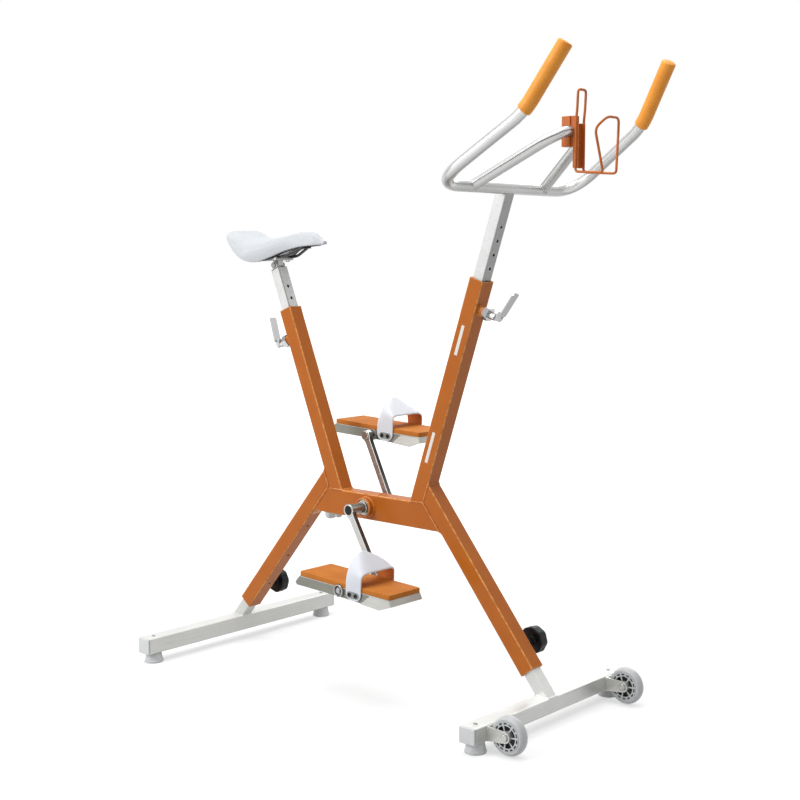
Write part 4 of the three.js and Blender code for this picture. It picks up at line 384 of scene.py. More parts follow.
FRAME_TUBE = Profile(38, 40, 4, 2.5)
BEAM_TUBE = Profile(60, 40, 4, 2.5)
POST_TUBE = Profile(28, 30, 3, 2)
BEAM_TOP, BEAM_BOTTOM = 429.0, 369.0
CRANK_CENTRE = at(0, 0, 399.0)
SEAT_LINE = middle_line(-101.6, BEAM_TOP, 90 + 21.9)
BAR_LINE = middle_line(151.8, BEAM_TOP, 90 - 18.6)
REAR_LEG_LINE = middle_line(-458.9, 62, 50)
FRONT_LEG_LINE = middle_line(498, 56.5, 180 - 51)
BEAM_LINE = Line(CRANK_CENTRE, FORWARD, UP)
SEAT_TUBE_LENGTH, BAR_TUBE_LENGTH = 451.0, 524.4
SEAT_LOCK_DROP, BAR_LOCK_DROP = 68.5, 64.0
REAR_STEM_SHOWN, FRONT_STEM_SHOWN = 53.0, 58.0
FACE = FRAME_TUBE.depth / 2
MITRE = FACE + 0.2
BEAD_OFF = 0.3
DRILL_SIDES = 28
BEAD_SHARP = 80
ROUNDING_STEPS = 2
EVEN_WEIGHT = 90
PAINTED_EDGE = 0.6
BEAD_SWELL = 0.13
WASHER_SHARE = 0.66


# Finishes.


def srgb(red: float, green: float, blue: float) -> Four:
    """A screen colour from 0 to 255 as the linear colour that a shader reads."""
    share = np.array([red, green, blue]) / 255
    linear = np.where(share <= 0.04045, share / 12.92, ((share + 0.055) / 1.055) ** 2.4)
    return (*linear.tolist(), 1.0)


class Relief(Enum):
    """Kinds of fine surface relief."""

    PEEL = "peel"
    BRUSH = "brush"
    PEBBLE = "pebble"
    CELLS = "cells"
    SPECKLE = "speckle"


class Tree:
    """Lays out the nodes of one material."""

    def __init__(self, name: str) -> None:
        """Starts a material with its principled shader and object coordinates."""
        self.material = bpy.data.materials.new(name)
        self.material.use_nodes = True
        self.nodes = self.material.node_tree.nodes
        self.links = self.material.node_tree.links
        self.shader = self.nodes["Principled BSDF"]
        self.place = self.add("TexCoord").outputs["Object"]

    def add(self, kind: str, inputs: Optional[dict[str, Any]] = None, **settings: Any) -> Any:
        """Adds a node.

        Args:
            kind: The node's type after ShaderNode.
            inputs: Values or sockets for the node's inputs, by name or number.
            settings: The node's own settings.

        Returns:
            The node.
        """
        node = self.nodes.new("ShaderNode" + kind)
        for key, value in settings.items():
            setattr(node, key, value)
        for key, value in (inputs or {}).items():
            self.feed(node.inputs[key], value)
        return node

    def feed(self, socket: Any, value: Any) -> None:
        """Links a socket into an input, or sets the input to a plain value."""
        if isinstance(value, bpy.types.NodeSocket):
            self.links.new(value, socket)
        else:
            socket.default_value = value

    def mapped(self, scale: Sequence[float], turn: float = 0.0) -> Any:
        """Object coordinates turned about the y axis and stretched by a scale on each axis."""
        leaned = self.add("Mapping", {"Vector": self.place, "Rotation": (0, turn, 0)}).outputs[0]
        return self.add("Mapping", {"Vector": leaned, "Scale": tuple(scale)}).outputs[0]

    def noise(self, scale: float, detail: float = 3.0, vector: Any = None) -> Any:
        """Noise from 0 to 1 at a number of cells in a metre."""
        inputs = {"Vector": vector or self.place, "Scale": scale, "Detail": detail}
        return self.add("TexNoise", inputs).outputs["Fac"]

    def cells(self, scale: float, feature: str = "F1") -> Any:
        """Distance to the nearest cell middle at a number of cells in a metre."""
        inputs = {"Vector": self.place, "Scale": scale}
        return self.add("TexVoronoi", inputs, feature=feature).outputs["Distance"]

    def ranged(self, value: Any, low: float, high: float, to_low: float, to_high: float) -> Any:
        """A value's range stretched or shrunk to another range."""
        inputs = {0: value, 1: low, 2: high, 3: to_low, 4: to_high}
        return self.add("MapRange", inputs).outputs[0]

    def mixed(self, share: Any, first: Any, second: Any, blend: str = "MIX") -> Any:
        """Two colours mixed by a share."""
        inputs = {0: share, 6: first, 7: second}
        return self.add("Mix", inputs, data_type="RGBA", blend_type=blend).outputs[2]

    def shaded(self, color: Any, place: Any, stops: Sequence[Pair]) -> Any:
        """A colour dimmed by a row of brightness stops along a value from 0 to 1: painted light
        and shade.
        """
        ramp = self.add("ValToRGB", {0: place})
        ramp.color_ramp.interpolation = "EASE"
        elements = ramp.color_ramp.elements
        while len(elements) < len(stops):
            elements.new(0.5)
        for element, (where, level) in zip(elements, stops):
            element.position = where
            element.color = (level, level, level, 1)
        return self.mixed(1.0, color, ramp.outputs[0], "MULTIPLY")

    def times(self, first: Any, second: Any) -> Any:
        """The product of two values."""
        return self.add("Math", {0: first, 1: second}, operation="MULTIPLY").outputs[0]

    def bump(self, height: Any, depth: float, below: Any = None) -> Any:
        """Surface relief of a depth in metres from a height of 0 to 1."""
        inputs = {"Height": height, "Distance": depth, "Strength": 1.0}
        if below is not None:
            inputs["Normal"] = below
        return self.add("Bump", inputs).outputs[0]


CLOUD_RANGE = (0.3, 0.7)
SPECKLE_RANGE, SPECKLE_SHARE, SPECKLE_DARK = (0.52, 0.68), 0.55, 0.72
BRUSH_RANGE, BRUSH_SHARE, BRUSH_DARK = (0.35, 0.65), 0.35, 0.84
SMUDGE_SCALE, SWELL_SCALE, PATCH_SCALE = 60.0, 26.0, 120.0
COAT_ROUGHNESS = 0.14
SCATTER_REACH = (0.004, 0.004, 0.0036)
# Painted edge highlights: the bevel's reach, where it counts as an edge, and the painted corner
# lines.
HIGHLIGHT_REACH = 0.0032
HIGHLIGHT_MATCH = (0.996, 0.93)
CORNER_RISE, CORNER_FALL = (0.2, 0.45), (0.94, 0.8)
PEBBLE_RANGE, PIT_RANGE, PATCH_RANGE = (0.0, 0.8), (0.05, 0.45), (0.35, 0.6)


@dataclass(frozen=True)
class Finish:
    """One surface finish: colour with its drift, gloss with its drift, relief and painted light.

    Colours are screen colours. The relief's scale is in cells to the metre and its depth in
    microns. Grain stretches the relief, and turn leans it about the y axis, in degrees. Facing
    reflection is a painted reflection that dims a polished metal by how far it turns away, and
    slope shading is painted light and shade by its slope along one axis, from below to above by
    default. Edge highlights are painted light along the edges, and corner highlights along the
    rounded corners of the tubes.
    """

    slot: str
    color: Triple
    drift: Triple
    roughness: float
    relief_scale: float
    relief_depth: float
    relief: Relief = Relief.PEEL
    swing: float = 0.06
    drift_scale: float = 14.0
    metallic: float = 0.0
    coat: float = 0.0
    grain: Triple = (1.0, 1.0, 1.0)
    turn: float = 0.0
    edge_highlight: Optional[Triple] = None
    highlight_share: float = 0.5
    corner_highlights: bool = False
    translucent: float = 0.0
    sheen: float = 0.0
    gloss: float = 0.4
    facing_reflection: Pairs = ()
    slope_shading: Pairs = ()
    shade_axis: str = "Z"

    def build(self, name: str) -> bpy.types.Material:
        """Makes the material.

        Args:
            name: The material's name.

        Returns:
            The material.
        """
        tree = Tree(name)
        shader = tree.shader.inputs
        cloud = tree.ranged(tree.noise(self.drift_scale, 4.0), *CLOUD_RANGE, 0.0, 1.0)
        color = tree.mixed(cloud, srgb(*self.color), srgb(*self.drift))
        relief = self._relief(tree)
        if self.relief is Relief.SPECKLE:
            dots = tree.ranged(relief, *SPECKLE_RANGE, 0.0, SPECKLE_SHARE)
            color = tree.mixed(dots, color, srgb(*(SPECKLE_DARK * np.array(self.drift))))
        if self.relief is Relief.BRUSH:
            streak = tree.ranged(relief, *BRUSH_RANGE, 0.0, BRUSH_SHARE)
            color = tree.mixed(streak, color, srgb(*(BRUSH_DARK * np.array(self.drift))))
        # Painted highlight: a lighter colour along the edges and corners.
        if self.edge_highlight is not None:
            color = tree.mixed(self._edge_highlights(tree), color, srgb(*self.edge_highlight))
        # Painted reflection: darker bands by how far the surface turns away.
        if self.facing_reflection:
            facing = tree.add("LayerWeight", {"Blend": 0.5}).outputs["Facing"]
            color = tree.shaded(color, facing, self.facing_reflection)
        # Painted light and shade: brighter or darker by the normal's slope along one axis.
        if self.slope_shading:
            normal = tree.add("NewGeometry").outputs["Normal"]
            height = tree.add("SeparateXYZ", {0: normal}).outputs[self.shade_axis]
            color = tree.shaded(color, tree.ranged(height, -1, 1, 0, 1), self.slope_shading)
        tree.feed(shader["Base Color"], color)
        smudge = tree.noise(SMUDGE_SCALE, 5.0)
        low, high = self.roughness - self.swing, self.roughness + self.swing
        tree.feed(shader["Roughness"], tree.ranged(smudge, *CLOUD_RANGE, low, high))
        depth = self.relief_depth * MICRON
        soft = tree.bump(tree.noise(SWELL_SCALE, 2.0), depth * 2)
        tree.feed(shader["Normal"], tree.bump(relief, depth, soft))
        plain = {
            "Metallic": self.metallic,
            "Coat Weight": self.coat,
            "Coat Roughness": COAT_ROUGHNESS,
            "Sheen Weight": self.sheen,
            "Specular IOR Level": self.gloss,
        }
        if self.translucent:
            plain["Subsurface Weight"] = self.translucent
            plain["Subsurface Radius"] = SCATTER_REACH
            plain["Subsurface Scale"] = 1.0
        for socket, value in plain.items():
            shader[socket].default_value = value
        return tree.material

    def _relief(self, tree: Tree) -> Any:
        """The relief's height from 0 to 1."""
        if self.relief is Relief.BRUSH:
            vector = tree.mapped(self.grain, math.radians(self.turn))
            return tree.noise(self.relief_scale, 4.0, vector)
        if self.relief is Relief.PEBBLE:
            cells = tree.cells(self.relief_scale, "SMOOTH_F1")
            return tree.ranged(cells, *PEBBLE_RANGE, 0.0, 1.0)
        if self.relief is Relief.CELLS:
            pits = tree.ranged(tree.cells(self.relief_scale), *PIT_RANGE, 0.0, 1.0)
            return tree.times(pits, tree.noise(self.relief_scale / 3, 2.0))
        return tree.noise(self.relief_scale, 3.0)

    def _edge_highlights(self, tree: Tree) -> Any:
        """Painted edge highlights: where a bevelled normal leaves the true one, broken by noise.
        """
        bevel = tree.add("Bevel", {"Radius": HIGHLIGHT_REACH}, samples=4).outputs[0]
        true = tree.add("NewGeometry").outputs["Normal"]
        match = tree.add("VectorMath", {0: bevel, 1: true}, operation="DOT_PRODUCT")
        edge = tree.ranged(match.outputs["Value"], *HIGHLIGHT_MATCH, 0.0, self.highlight_share)
        # Painted highlight lines along the rounded tube corners, part way between two faces.
        if self.corner_highlights:
            across = tree.add("SeparateXYZ", {0: true}).outputs["Y"]
            lean = tree.add("Math", {0: across}, operation="ABSOLUTE").outputs[0]
            rising = tree.ranged(lean, *CORNER_RISE, 0.0, self.highlight_share)
            line = tree.times(rising, tree.ranged(lean, *CORNER_FALL, 0.0, 1.0))
            edge = tree.add("Math", {0: edge, 1: line}, operation="MAXIMUM").outputs[0]
        patch = tree.ranged(tree.noise(PATCH_SCALE, 4.0), *PATCH_RANGE, 0.25, 1.0)
        return tree.times(edge, patch)


class Look(Enum):
    """The bike's finishes."""

    # Painted highlights along the edges and the rounded tube corners.
    ORANGE_PAINT = Finish(
        "frame_paint", (189, 104, 28), (181, 97, 25), 0.34, 620, 30,
        coat=0.05, edge_highlight=(244, 176, 110), highlight_share=0.85, gloss=0.2, corner_highlights=True,
    )
    # Painted highlights along the edges.
    CAGE_PAINT = Finish(
        "cage_paint", (206, 114, 50), (192, 102, 42), 0.4, 700, 20,
        edge_highlight=(232, 150, 92), gloss=0.2,
    )
    STRIPE_PAINT = Finish(
        "frame_paint", (236, 234, 228), (228, 226, 220), 0.42, 700, 10,
    )
    # Painted light: pale steel whose sides and undersides are dimmed by their slope, so the tops
    # read brightest.
    FOOT_STEEL = Finish(
        "polished_steel", (240, 241, 238), (232, 233, 229), 0.34, 1, 10, Relief.BRUSH,
        metallic=0.5, grain=(900, 14, 900),
        slope_shading=((0, 0.74), (0.4, 0.79), (0.56, 0.79), (0.8, 0.96), (1, 1)),
    )
    # Painted shade on the faces that look ahead.
    SEAT_STEEL = Finish(
        "polished_steel", (238, 239, 238), (226, 227, 225), 0.36, 1, 10, Relief.BRUSH,
        metallic=0.2, grain=(900, 900, 20), turn=-21.9,
        slope_shading=((0, 1), (0.6, 1), (0.9, 0.94), (1, 0.94)), shade_axis="X",
    )
    # Painted shade on the faces that look ahead.
    BAR_POST_STEEL = Finish(
        "polished_steel", (222, 223, 222), (212, 213, 211), 0.36, 900, 10, Relief.SPECKLE,
        metallic=0.2, slope_shading=((0, 1), (0.6, 1), (0.9, 0.6), (1, 0.56)), shade_axis="X",
    )
    # Painted reflection bands by facing, and painted shade on the faces that look down.
    BAR_STEEL = Finish(
        "bar_steel", (222, 223, 222), (214, 215, 213), 0.2, 120, 2,
        metallic=0.6, swing=0.03,
        facing_reflection=(
            (0, 1), (0.24, 1), (0.36, 0.72), (0.5, 0.74), (0.62, 0.95), (0.88, 0.5),
            (1, 0.7),
        ),
        slope_shading=((0, 0.62), (0.3, 0.86), (0.45, 1), (1, 1)),
    )
    # Painted reflection bands by facing, a painted dark reflection streak on faces that tilt a
    # little up, and painted shade on the faces that look down.
    LOOP_STEEL = Finish(
        "bar_steel", (222, 223, 222), (214, 215, 213), 0.2, 120, 2,
        metallic=0.6, swing=0.03,
        facing_reflection=((0, 1), (0.42, 0.97), (0.66, 0.72), (0.86, 0.42), (1, 0.7)),
        slope_shading=(
            (0, 0.6), (0.36, 0.8), (0.5, 0.92), (0.572, 0.8), (0.59, 0.1), (0.634, 0.12),
            (0.66, 1), (1, 0.96),
        ),
    )
    # One satin steel: the heel in painted shade, darker, and the toe in painted light, brighter.
    TRAY_STEEL = Finish(
        "satin_steel", (146, 146, 136), (128, 128, 118), 0.4, 1, 8, Relief.BRUSH,
        metallic=0.3, grain=(16, 900, 900),
    )
    TOE_STEEL = Finish(
        "satin_steel", (204, 204, 198), (192, 192, 186), 0.36, 1, 8, Relief.BRUSH,
        metallic=0.35, grain=(16, 900, 900),
    )
    LUG_STEEL = Finish(
        "satin_steel", (150, 152, 150), (136, 138, 136), 0.4, 500, 10,
        metallic=0.3,
    )
    # Painted reflection: dimmed by the normal's slope ahead, darkest on the faces that look ahead,
    # with painted white edge highlights.
    CRANK_METAL = Finish(
        "crank_metal", (222, 222, 220), (210, 210, 208), 0.24, 200, 10,
        metallic=0.75, edge_highlight=(255, 255, 255), highlight_share=1.0,
        slope_shading=((0, 0.66), (0.52, 0.68), (0.64, 1), (0.82, 1), (0.89, 0.14), (1, 0.2)),
        shade_axis="X",
    )
    # Painted reflection bands by facing, and painted edge highlights.
    BOSS_METAL = Finish(
        "crank_metal", (186, 182, 172), (160, 156, 146), 0.3, 300, 10,
        metallic=0.8, edge_highlight=(250, 250, 248), highlight_share=1.0,
        facing_reflection=((0, 1), (0.3, 0.8), (0.5, 0.4), (0.7, 0.75), (1, 0.3)),
    )
    # Painted highlights along the edges.
    FORK_STEEL = Finish(
        "polished_steel", (214, 214, 209), (202, 202, 196), 0.3, 1, 6, Relief.BRUSH,
        metallic=0.5, grain=(900, 14, 900), edge_highlight=(255, 255, 252), highlight_share=1.0,
    )
    # Painted reflection bands by facing.
    LOCK_CHROME = Finish(
        "lock_chrome", (206, 206, 206), (194, 194, 194), 0.13, 300, 10,
        metallic=1.0, swing=0.04,
        facing_reflection=((0, 1), (0.18, 0.7), (0.3, 1), (0.5, 0.6), (0.72, 0.16), (1, 0.6)),
    )
    # Painted reflection bands by facing.
    SATIN_STEEL = Finish(
        "satin_steel", (180, 181, 179), (164, 165, 163), 0.32, 500, 20,
        metallic=0.85, facing_reflection=((0, 1), (0.4, 0.85), (0.7, 0.5), (1, 0.8)),
    )
    # Painted highlights along the edges.
    BLACK_PLASTIC = Finish(
        "black_plastic", (15, 15, 16), (11, 11, 12), 0.44, 1500, 30, Relief.SPECKLE,
        edge_highlight=(48, 49, 50), highlight_share=0.3, gloss=0.24,
    )
    RAIL_COAT = Finish(
        "rail_steel", (34, 35, 36), (26, 27, 28), 0.3, 900, 10, coat=0.2,
    )
    HOLE_RIM = Finish(
        "polished_steel", (232, 232, 231), (222, 222, 221), 0.36, 600, 5,
    )
    PALE_PLASTIC = Finish(
        "pale_plastic", (222, 224, 224), (214, 216, 216), 0.42, 900, 20,
    )
    PAD_RUBBER = Finish(
        "pad_rubber", (226, 228, 229), (216, 218, 219), 0.6, 1400, 40, Relief.SPECKLE,
    )
    # Painted light and shade: faces that look up are dimmed, so the skirt below reads about as
    # bright as the top.
    SADDLE_SKIN = Finish(
        "saddle_skin", (218, 221, 225), (211, 215, 219), 0.42, 1300, 30, Relief.PEBBLE,
        sheen=0.1, slope_shading=((0, 1), (0.47, 1), (0.6, 0.88), (0.75, 0.81), (1, 0.8)),
    )
    GRIP_FOAM = Finish(
        "grip_foam", (254, 168, 62), (244, 156, 52), 0.5, 1900, 6, Relief.CELLS,
        drift_scale=30,
    )
    PEDAL_RUBBER = Finish(
        "grip_foam", (204, 125, 47), (188, 110, 39), 0.72, 1000, 120, Relief.SPECKLE,
        drift_scale=24, gloss=0.25,
    )
    STRAP_OUTSIDE = Finish(
        "strap_rubber", (226, 229, 235), (219, 222, 229), 0.46, 700, 30,
    )
    STRAP_INSIDE = Finish(
        "strap_rubber", (205, 118, 48), (192, 107, 42), 0.6, 1200, 40, Relief.SPECKLE,
    )
    TYRE = Finish(
        "wheel_tread", (204, 206, 207), (196, 198, 199), 0.34, 400, 30,
        translucent=0.35,
    )
    HUB_PLASTIC = Finish(
        "wheel_plastic", (206, 208, 209), (196, 198, 199), 0.34, 700, 20,
    )
    DARK_CORE = Finish(
        "wheel_plastic", (62, 64, 66), (52, 54, 56), 0.5, 700, 20,
    )


@cache
def painted(look: Look) -> bpy.types.Material:
    """The finish's material, made when first asked for."""
    return look.value.build(look.name.lower())


# Pieces.


def mesh_object(name: str, shape: Surface, welded: bool = True) -> Piece:
    """Puts a surface into a mesh, merges its poles and turns its faces outwards.

    Args:
        name: The object's name.
        shape: The surface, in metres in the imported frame.
        welded: Whether close points are merged and faces turned outwards.

    Returns:
        The new object, at the origin.
    """
    mesh = bpy.data.meshes.new(name)
    mesh.from_pydata(shape.points.tolist(), [], shape.faces)
    if welded:
        work = bmesh.new()
        work.from_mesh(mesh)
        bmesh.ops.remove_doubles(work, verts=work.verts, dist=MERGE_WITHIN)
        bmesh.ops.recalc_face_normals(work, faces=work.faces)
        if work.calc_volume(signed=True) < 0:
            bmesh.ops.reverse_faces(work, faces=work.faces)
        work.to_mesh(mesh)
        work.free()
    piece = bpy.data.objects.new(name, mesh)
    bpy.context.scene.collection.objects.link(piece)
    return piece


def softened(piece: Piece, sharp: float, bevel: float) -> None:
    """Shades a piece smooth up to an angle and rounds its sharper edges.

    Args:
        piece: The piece.
        sharp: Angle in degrees past which an edge stays an edge.
        bevel: Width of the rounding in millimetres, or 0 for none.
    """
    piece.data.shade_smooth()
    if bevel > 0:
        edge = piece.modifiers.new("rounded", "BEVEL")
        edge.width = bevel * MM
        edge.segments = ROUNDING_STEPS
        edge.limit_method = "ANGLE"
        edge.angle_limit = math.radians(sharp)
        edge.miter_outer = "MITER_ARC"
        even = piece.modifiers.new("even", "WEIGHTED_NORMAL")
        even.weight = EVEN_WEIGHT
    else:
        piece.data.set_sharp_from_angle(angle=math.radians(sharp))


def frozen(piece: Piece) -> None:
    """Makes a piece's modifiers part of its mesh."""
    graph = bpy.context.evaluated_depsgraph_get()
    mesh = bpy.data.meshes.new_from_object(piece.evaluated_get(graph))
    piece.modifiers.clear()
    piece.data = mesh


def cut(piece: Piece, tool: Surface) -> None:
    """Takes a closed surface out of a piece."""
    cutter = mesh_object("cutter", tool)
    modifier = piece.modifiers.new("cut", "BOOLEAN")
    modifier.object = cutter
    modifier.operation = "DIFFERENCE"
    modifier.solver = "EXACT"
    frozen(piece)
    bpy.data.objects.remove(cutter)


def dressed(piece: Piece, look: Look, body: str, nodes: Sequence[str]) -> Piece:
    """Gives a piece its finish, slot and body, and the CAD nodes that it stands for."""
    piece.data.materials.clear()
    piece.data.materials.append(painted(look))
    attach(piece, body)
    if nodes:
        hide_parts(*nodes)
    LOG.info("%s on %s, %d points", piece.name, body, len(piece.data.vertices))
    return piece


def made(
    name: str, shape: Surface, look: Look, body: str, nodes: Sequence[str] = (),
    sharp: float = 35.0, bevel: float = 0.0, holes: Optional[Surface] = None,
) -> Piece:
    """Makes a finished piece from a surface.

    Args:
        name: The piece's name.
        shape: Its surface.
        look: Its finish.
        body: The CAD body that it rides on.
        nodes: The CAD nodes that it stands for.
        sharp: Angle in degrees past which an edge stays an edge.
        bevel: Rounding of the sharp edges, in millimetres.
        holes: A closed surface to take out of it.

    Returns:
        The piece.
    """
    piece = mesh_object(name, shape)
    if holes is not None:
        cut(piece, holes)
    softened(piece, sharp, bevel)
    return dressed(piece, look, body, nodes)


def stand_in(node: str, shape: Surface, look: Look, **edges: Any) -> Piece:
    """Makes the finished piece that stands for one CAD node, on the node's own body.

    Args:
        node: The CAD node, which gives the piece its name.
        shape: The piece's surface.
        look: Its finish.
        edges: The sharp angle, the bevel and the holes, as made takes them.

    Returns:
        The piece.
    """
    body = frame["nodes"][node]["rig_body"]
    return made(node + "_finish", shape, look, body, [node], **edges)


def from_node(
    node: str, look: Look, bevel: float = 0.5, sharp: float = 32.0, wide: float = 1.0,
    ahead: float = 0.0,
) -> Piece:
    """Makes a piece from a merged copy of a CAD node, with its edges rounded.

    Args:
        node: The CAD node.
        look: The piece's finish.
        bevel: Rounding of the edges, in millimetres.
        sharp: Angle in degrees past which an edge is rounded.
        wide: How much the copy is narrowed or widened across the bike.
        ahead: How far the copy stands ahead of the node, in millimetres.

    Returns:
        The piece, which stands for the node.
    """
    work = bmesh.new()
    work.from_mesh(frame["nodes"][node].data)
    bmesh.ops.remove_doubles(work, verts=work.verts, dist=MERGE_WITHIN)
    flat = math.radians(FLAT_WITHIN)
    bmesh.ops.dissolve_limit(work, angle_limit=flat, verts=work.verts, edges=work.edges)
    mesh = bpy.data.meshes.new(node + "_finish")
    work.to_mesh(mesh)
    work.free()
    piece = bpy.data.objects.new(mesh.name, mesh)
    bpy.context.scene.collection.objects.link(piece)
    mesh.transform(Matrix.Translation((ahead * MM, 0, 0)) @ Matrix.Diagonal((1, wide, 1, 1)))
    softened(piece, sharp, bevel)
    return dressed(piece, look, frame["nodes"][node]["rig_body"], [node])


# Profiles and small hardware that several assemblies share. Sizes are in millimetres.


def rim(radius: float, height: float, edge: float, steps: int = 5) -> Array:
    """A quarter circle from a profile's side up to its top, as rows of radius and height."""
    turn = np.linspace(0, np.pi / 2, steps + 1)
    return np.stack([radius - edge * (1 - np.cos(turn)), height - edge * (1 - np.sin(turn))], 1)


def rod(radius: float, low: float, high: float, inner: float = 0.0) -> Array:
    """A straight rod's profile from one height to another, or a ring's with an inner radius."""
    return np.array([[inner, low], [radius, low], [radius, high], [inner, high]])


def bead(path: Array, radius: float = 1.7, pitch: float = 2.6) -> Surface:
    """A weld bead along a closed line: a round section that swells once in each pitch."""
    line = resampled(path, pitch * MM / 3, closed=True)
    swell = 1 + BEAD_SWELL * np.sin(np.arange(len(line)) * 2 * np.pi / 3)
    outline = swell[:, None, None] * circle(radius * MM, 10)[None]
    return carried(line, outline, looped=True)


def disc(origin: Array, axis: Array, radius: float, height: float, edge: float = 0.8) -> Surface:
    """A round head: flat underneath, its outer rim rounded by a quarter of an ellipse."""
    profile = np.vstack([[0, 0], [radius, 0], rim(radius, height, edge), [0, height]])
    return turned(profile * MM, origin, axis)


def hex_bolt(origin: Array, axis: Array, across: float, height: float) -> Surface:
    """A hexagon head on a thin round washer."""
    washer = disc(origin, axis, across * WASHER_SHARE, 1.0, 0.3)
    size = [across / math.sqrt(3), height]
    profile = np.array([[0, 0], [1, 0], [1, 0.86], [0.9, 1], [0, 1]]) * size
    return washer + turned(profile * MM, origin + unit(axis) * MM, axis, sides=6)


def socket_screw(origin: Array, axis: Array, radius: float, height: float) -> Surface:
    """A round screw head with a hexagonal socket in its top."""
    outer = np.array([[0, 0], [1, 0], [1, 0.8], [0.88, 1], [0.5, 1]]) * [radius, height]
    pit = np.array([[0.5, 1], [0.46, 0.45], [0, 0.4]]) * [radius, height]
    return turned(np.vstack([outer, pit[1:]]) * MM, origin, axis, sides=30)


def slotted_ring(
    radii: Sequence[float], skipped: Array, origin: Array, axis: Array, thick: float
) -> Surface:
    """A flat ring with windows: a grid of angles and radii whose skipped cells have no face.

    Both faces of the ring are that grid, half the thickness each way, and every edge between a
    kept and a missing cell gets a wall.

    Args:
        radii: Radii of the grid's rows, in millimetres.
        skipped: (row, angle) cells that stay open.
        origin: Middle of the ring.
        axis: Direction of its axis.
        thick: Thickness in millimetres.

    Returns:
        The closed surface.
    """
    sides = skipped.shape[1]
    along = unit(axis)
    first = unit(np.cross(along, UP))
    second = np.cross(along, first)
    spin = circle(1.0, sides)
    radial = spin[:, :1] * first + spin[:, 1:] * second
    flat = origin + np.asarray(radii)[:, None, None] * MM * radial[None]
    half = along * thick * MM / 2
    points = np.concatenate([(flat + half).reshape(-1, 3), (flat - half).reshape(-1, 3)])
    index = np.arange(len(radii) * sides).reshape(len(radii), sides)
    after = np.roll(index, -1, axis=1)
    other = index.size
    kept = ~skipped
    quads = np.stack([index[:-1], after[:-1], after[1:], index[1:]], axis=2)[kept]
    rows = [quads, quads[:, ::-1] + other]
    closed_row = np.zeros((1, sides), bool)
    inside = np.vstack([closed_row, kept, closed_row])
    ringwise = inside[:-1] != inside[1:]
    rows.append(np.stack([index, after, after + other, index + other], axis=2)[ringwise])
    sideways = kept != np.roll(kept, 1, axis=1)
    rows.append(
        np.stack([index[:-1], index[1:], index[1:] + other, index[:-1] + other], axis=2)[sideways]
    )
    return Surface(points, [tuple(face) for face in np.vstack(rows).tolist()])


# Assemblies.


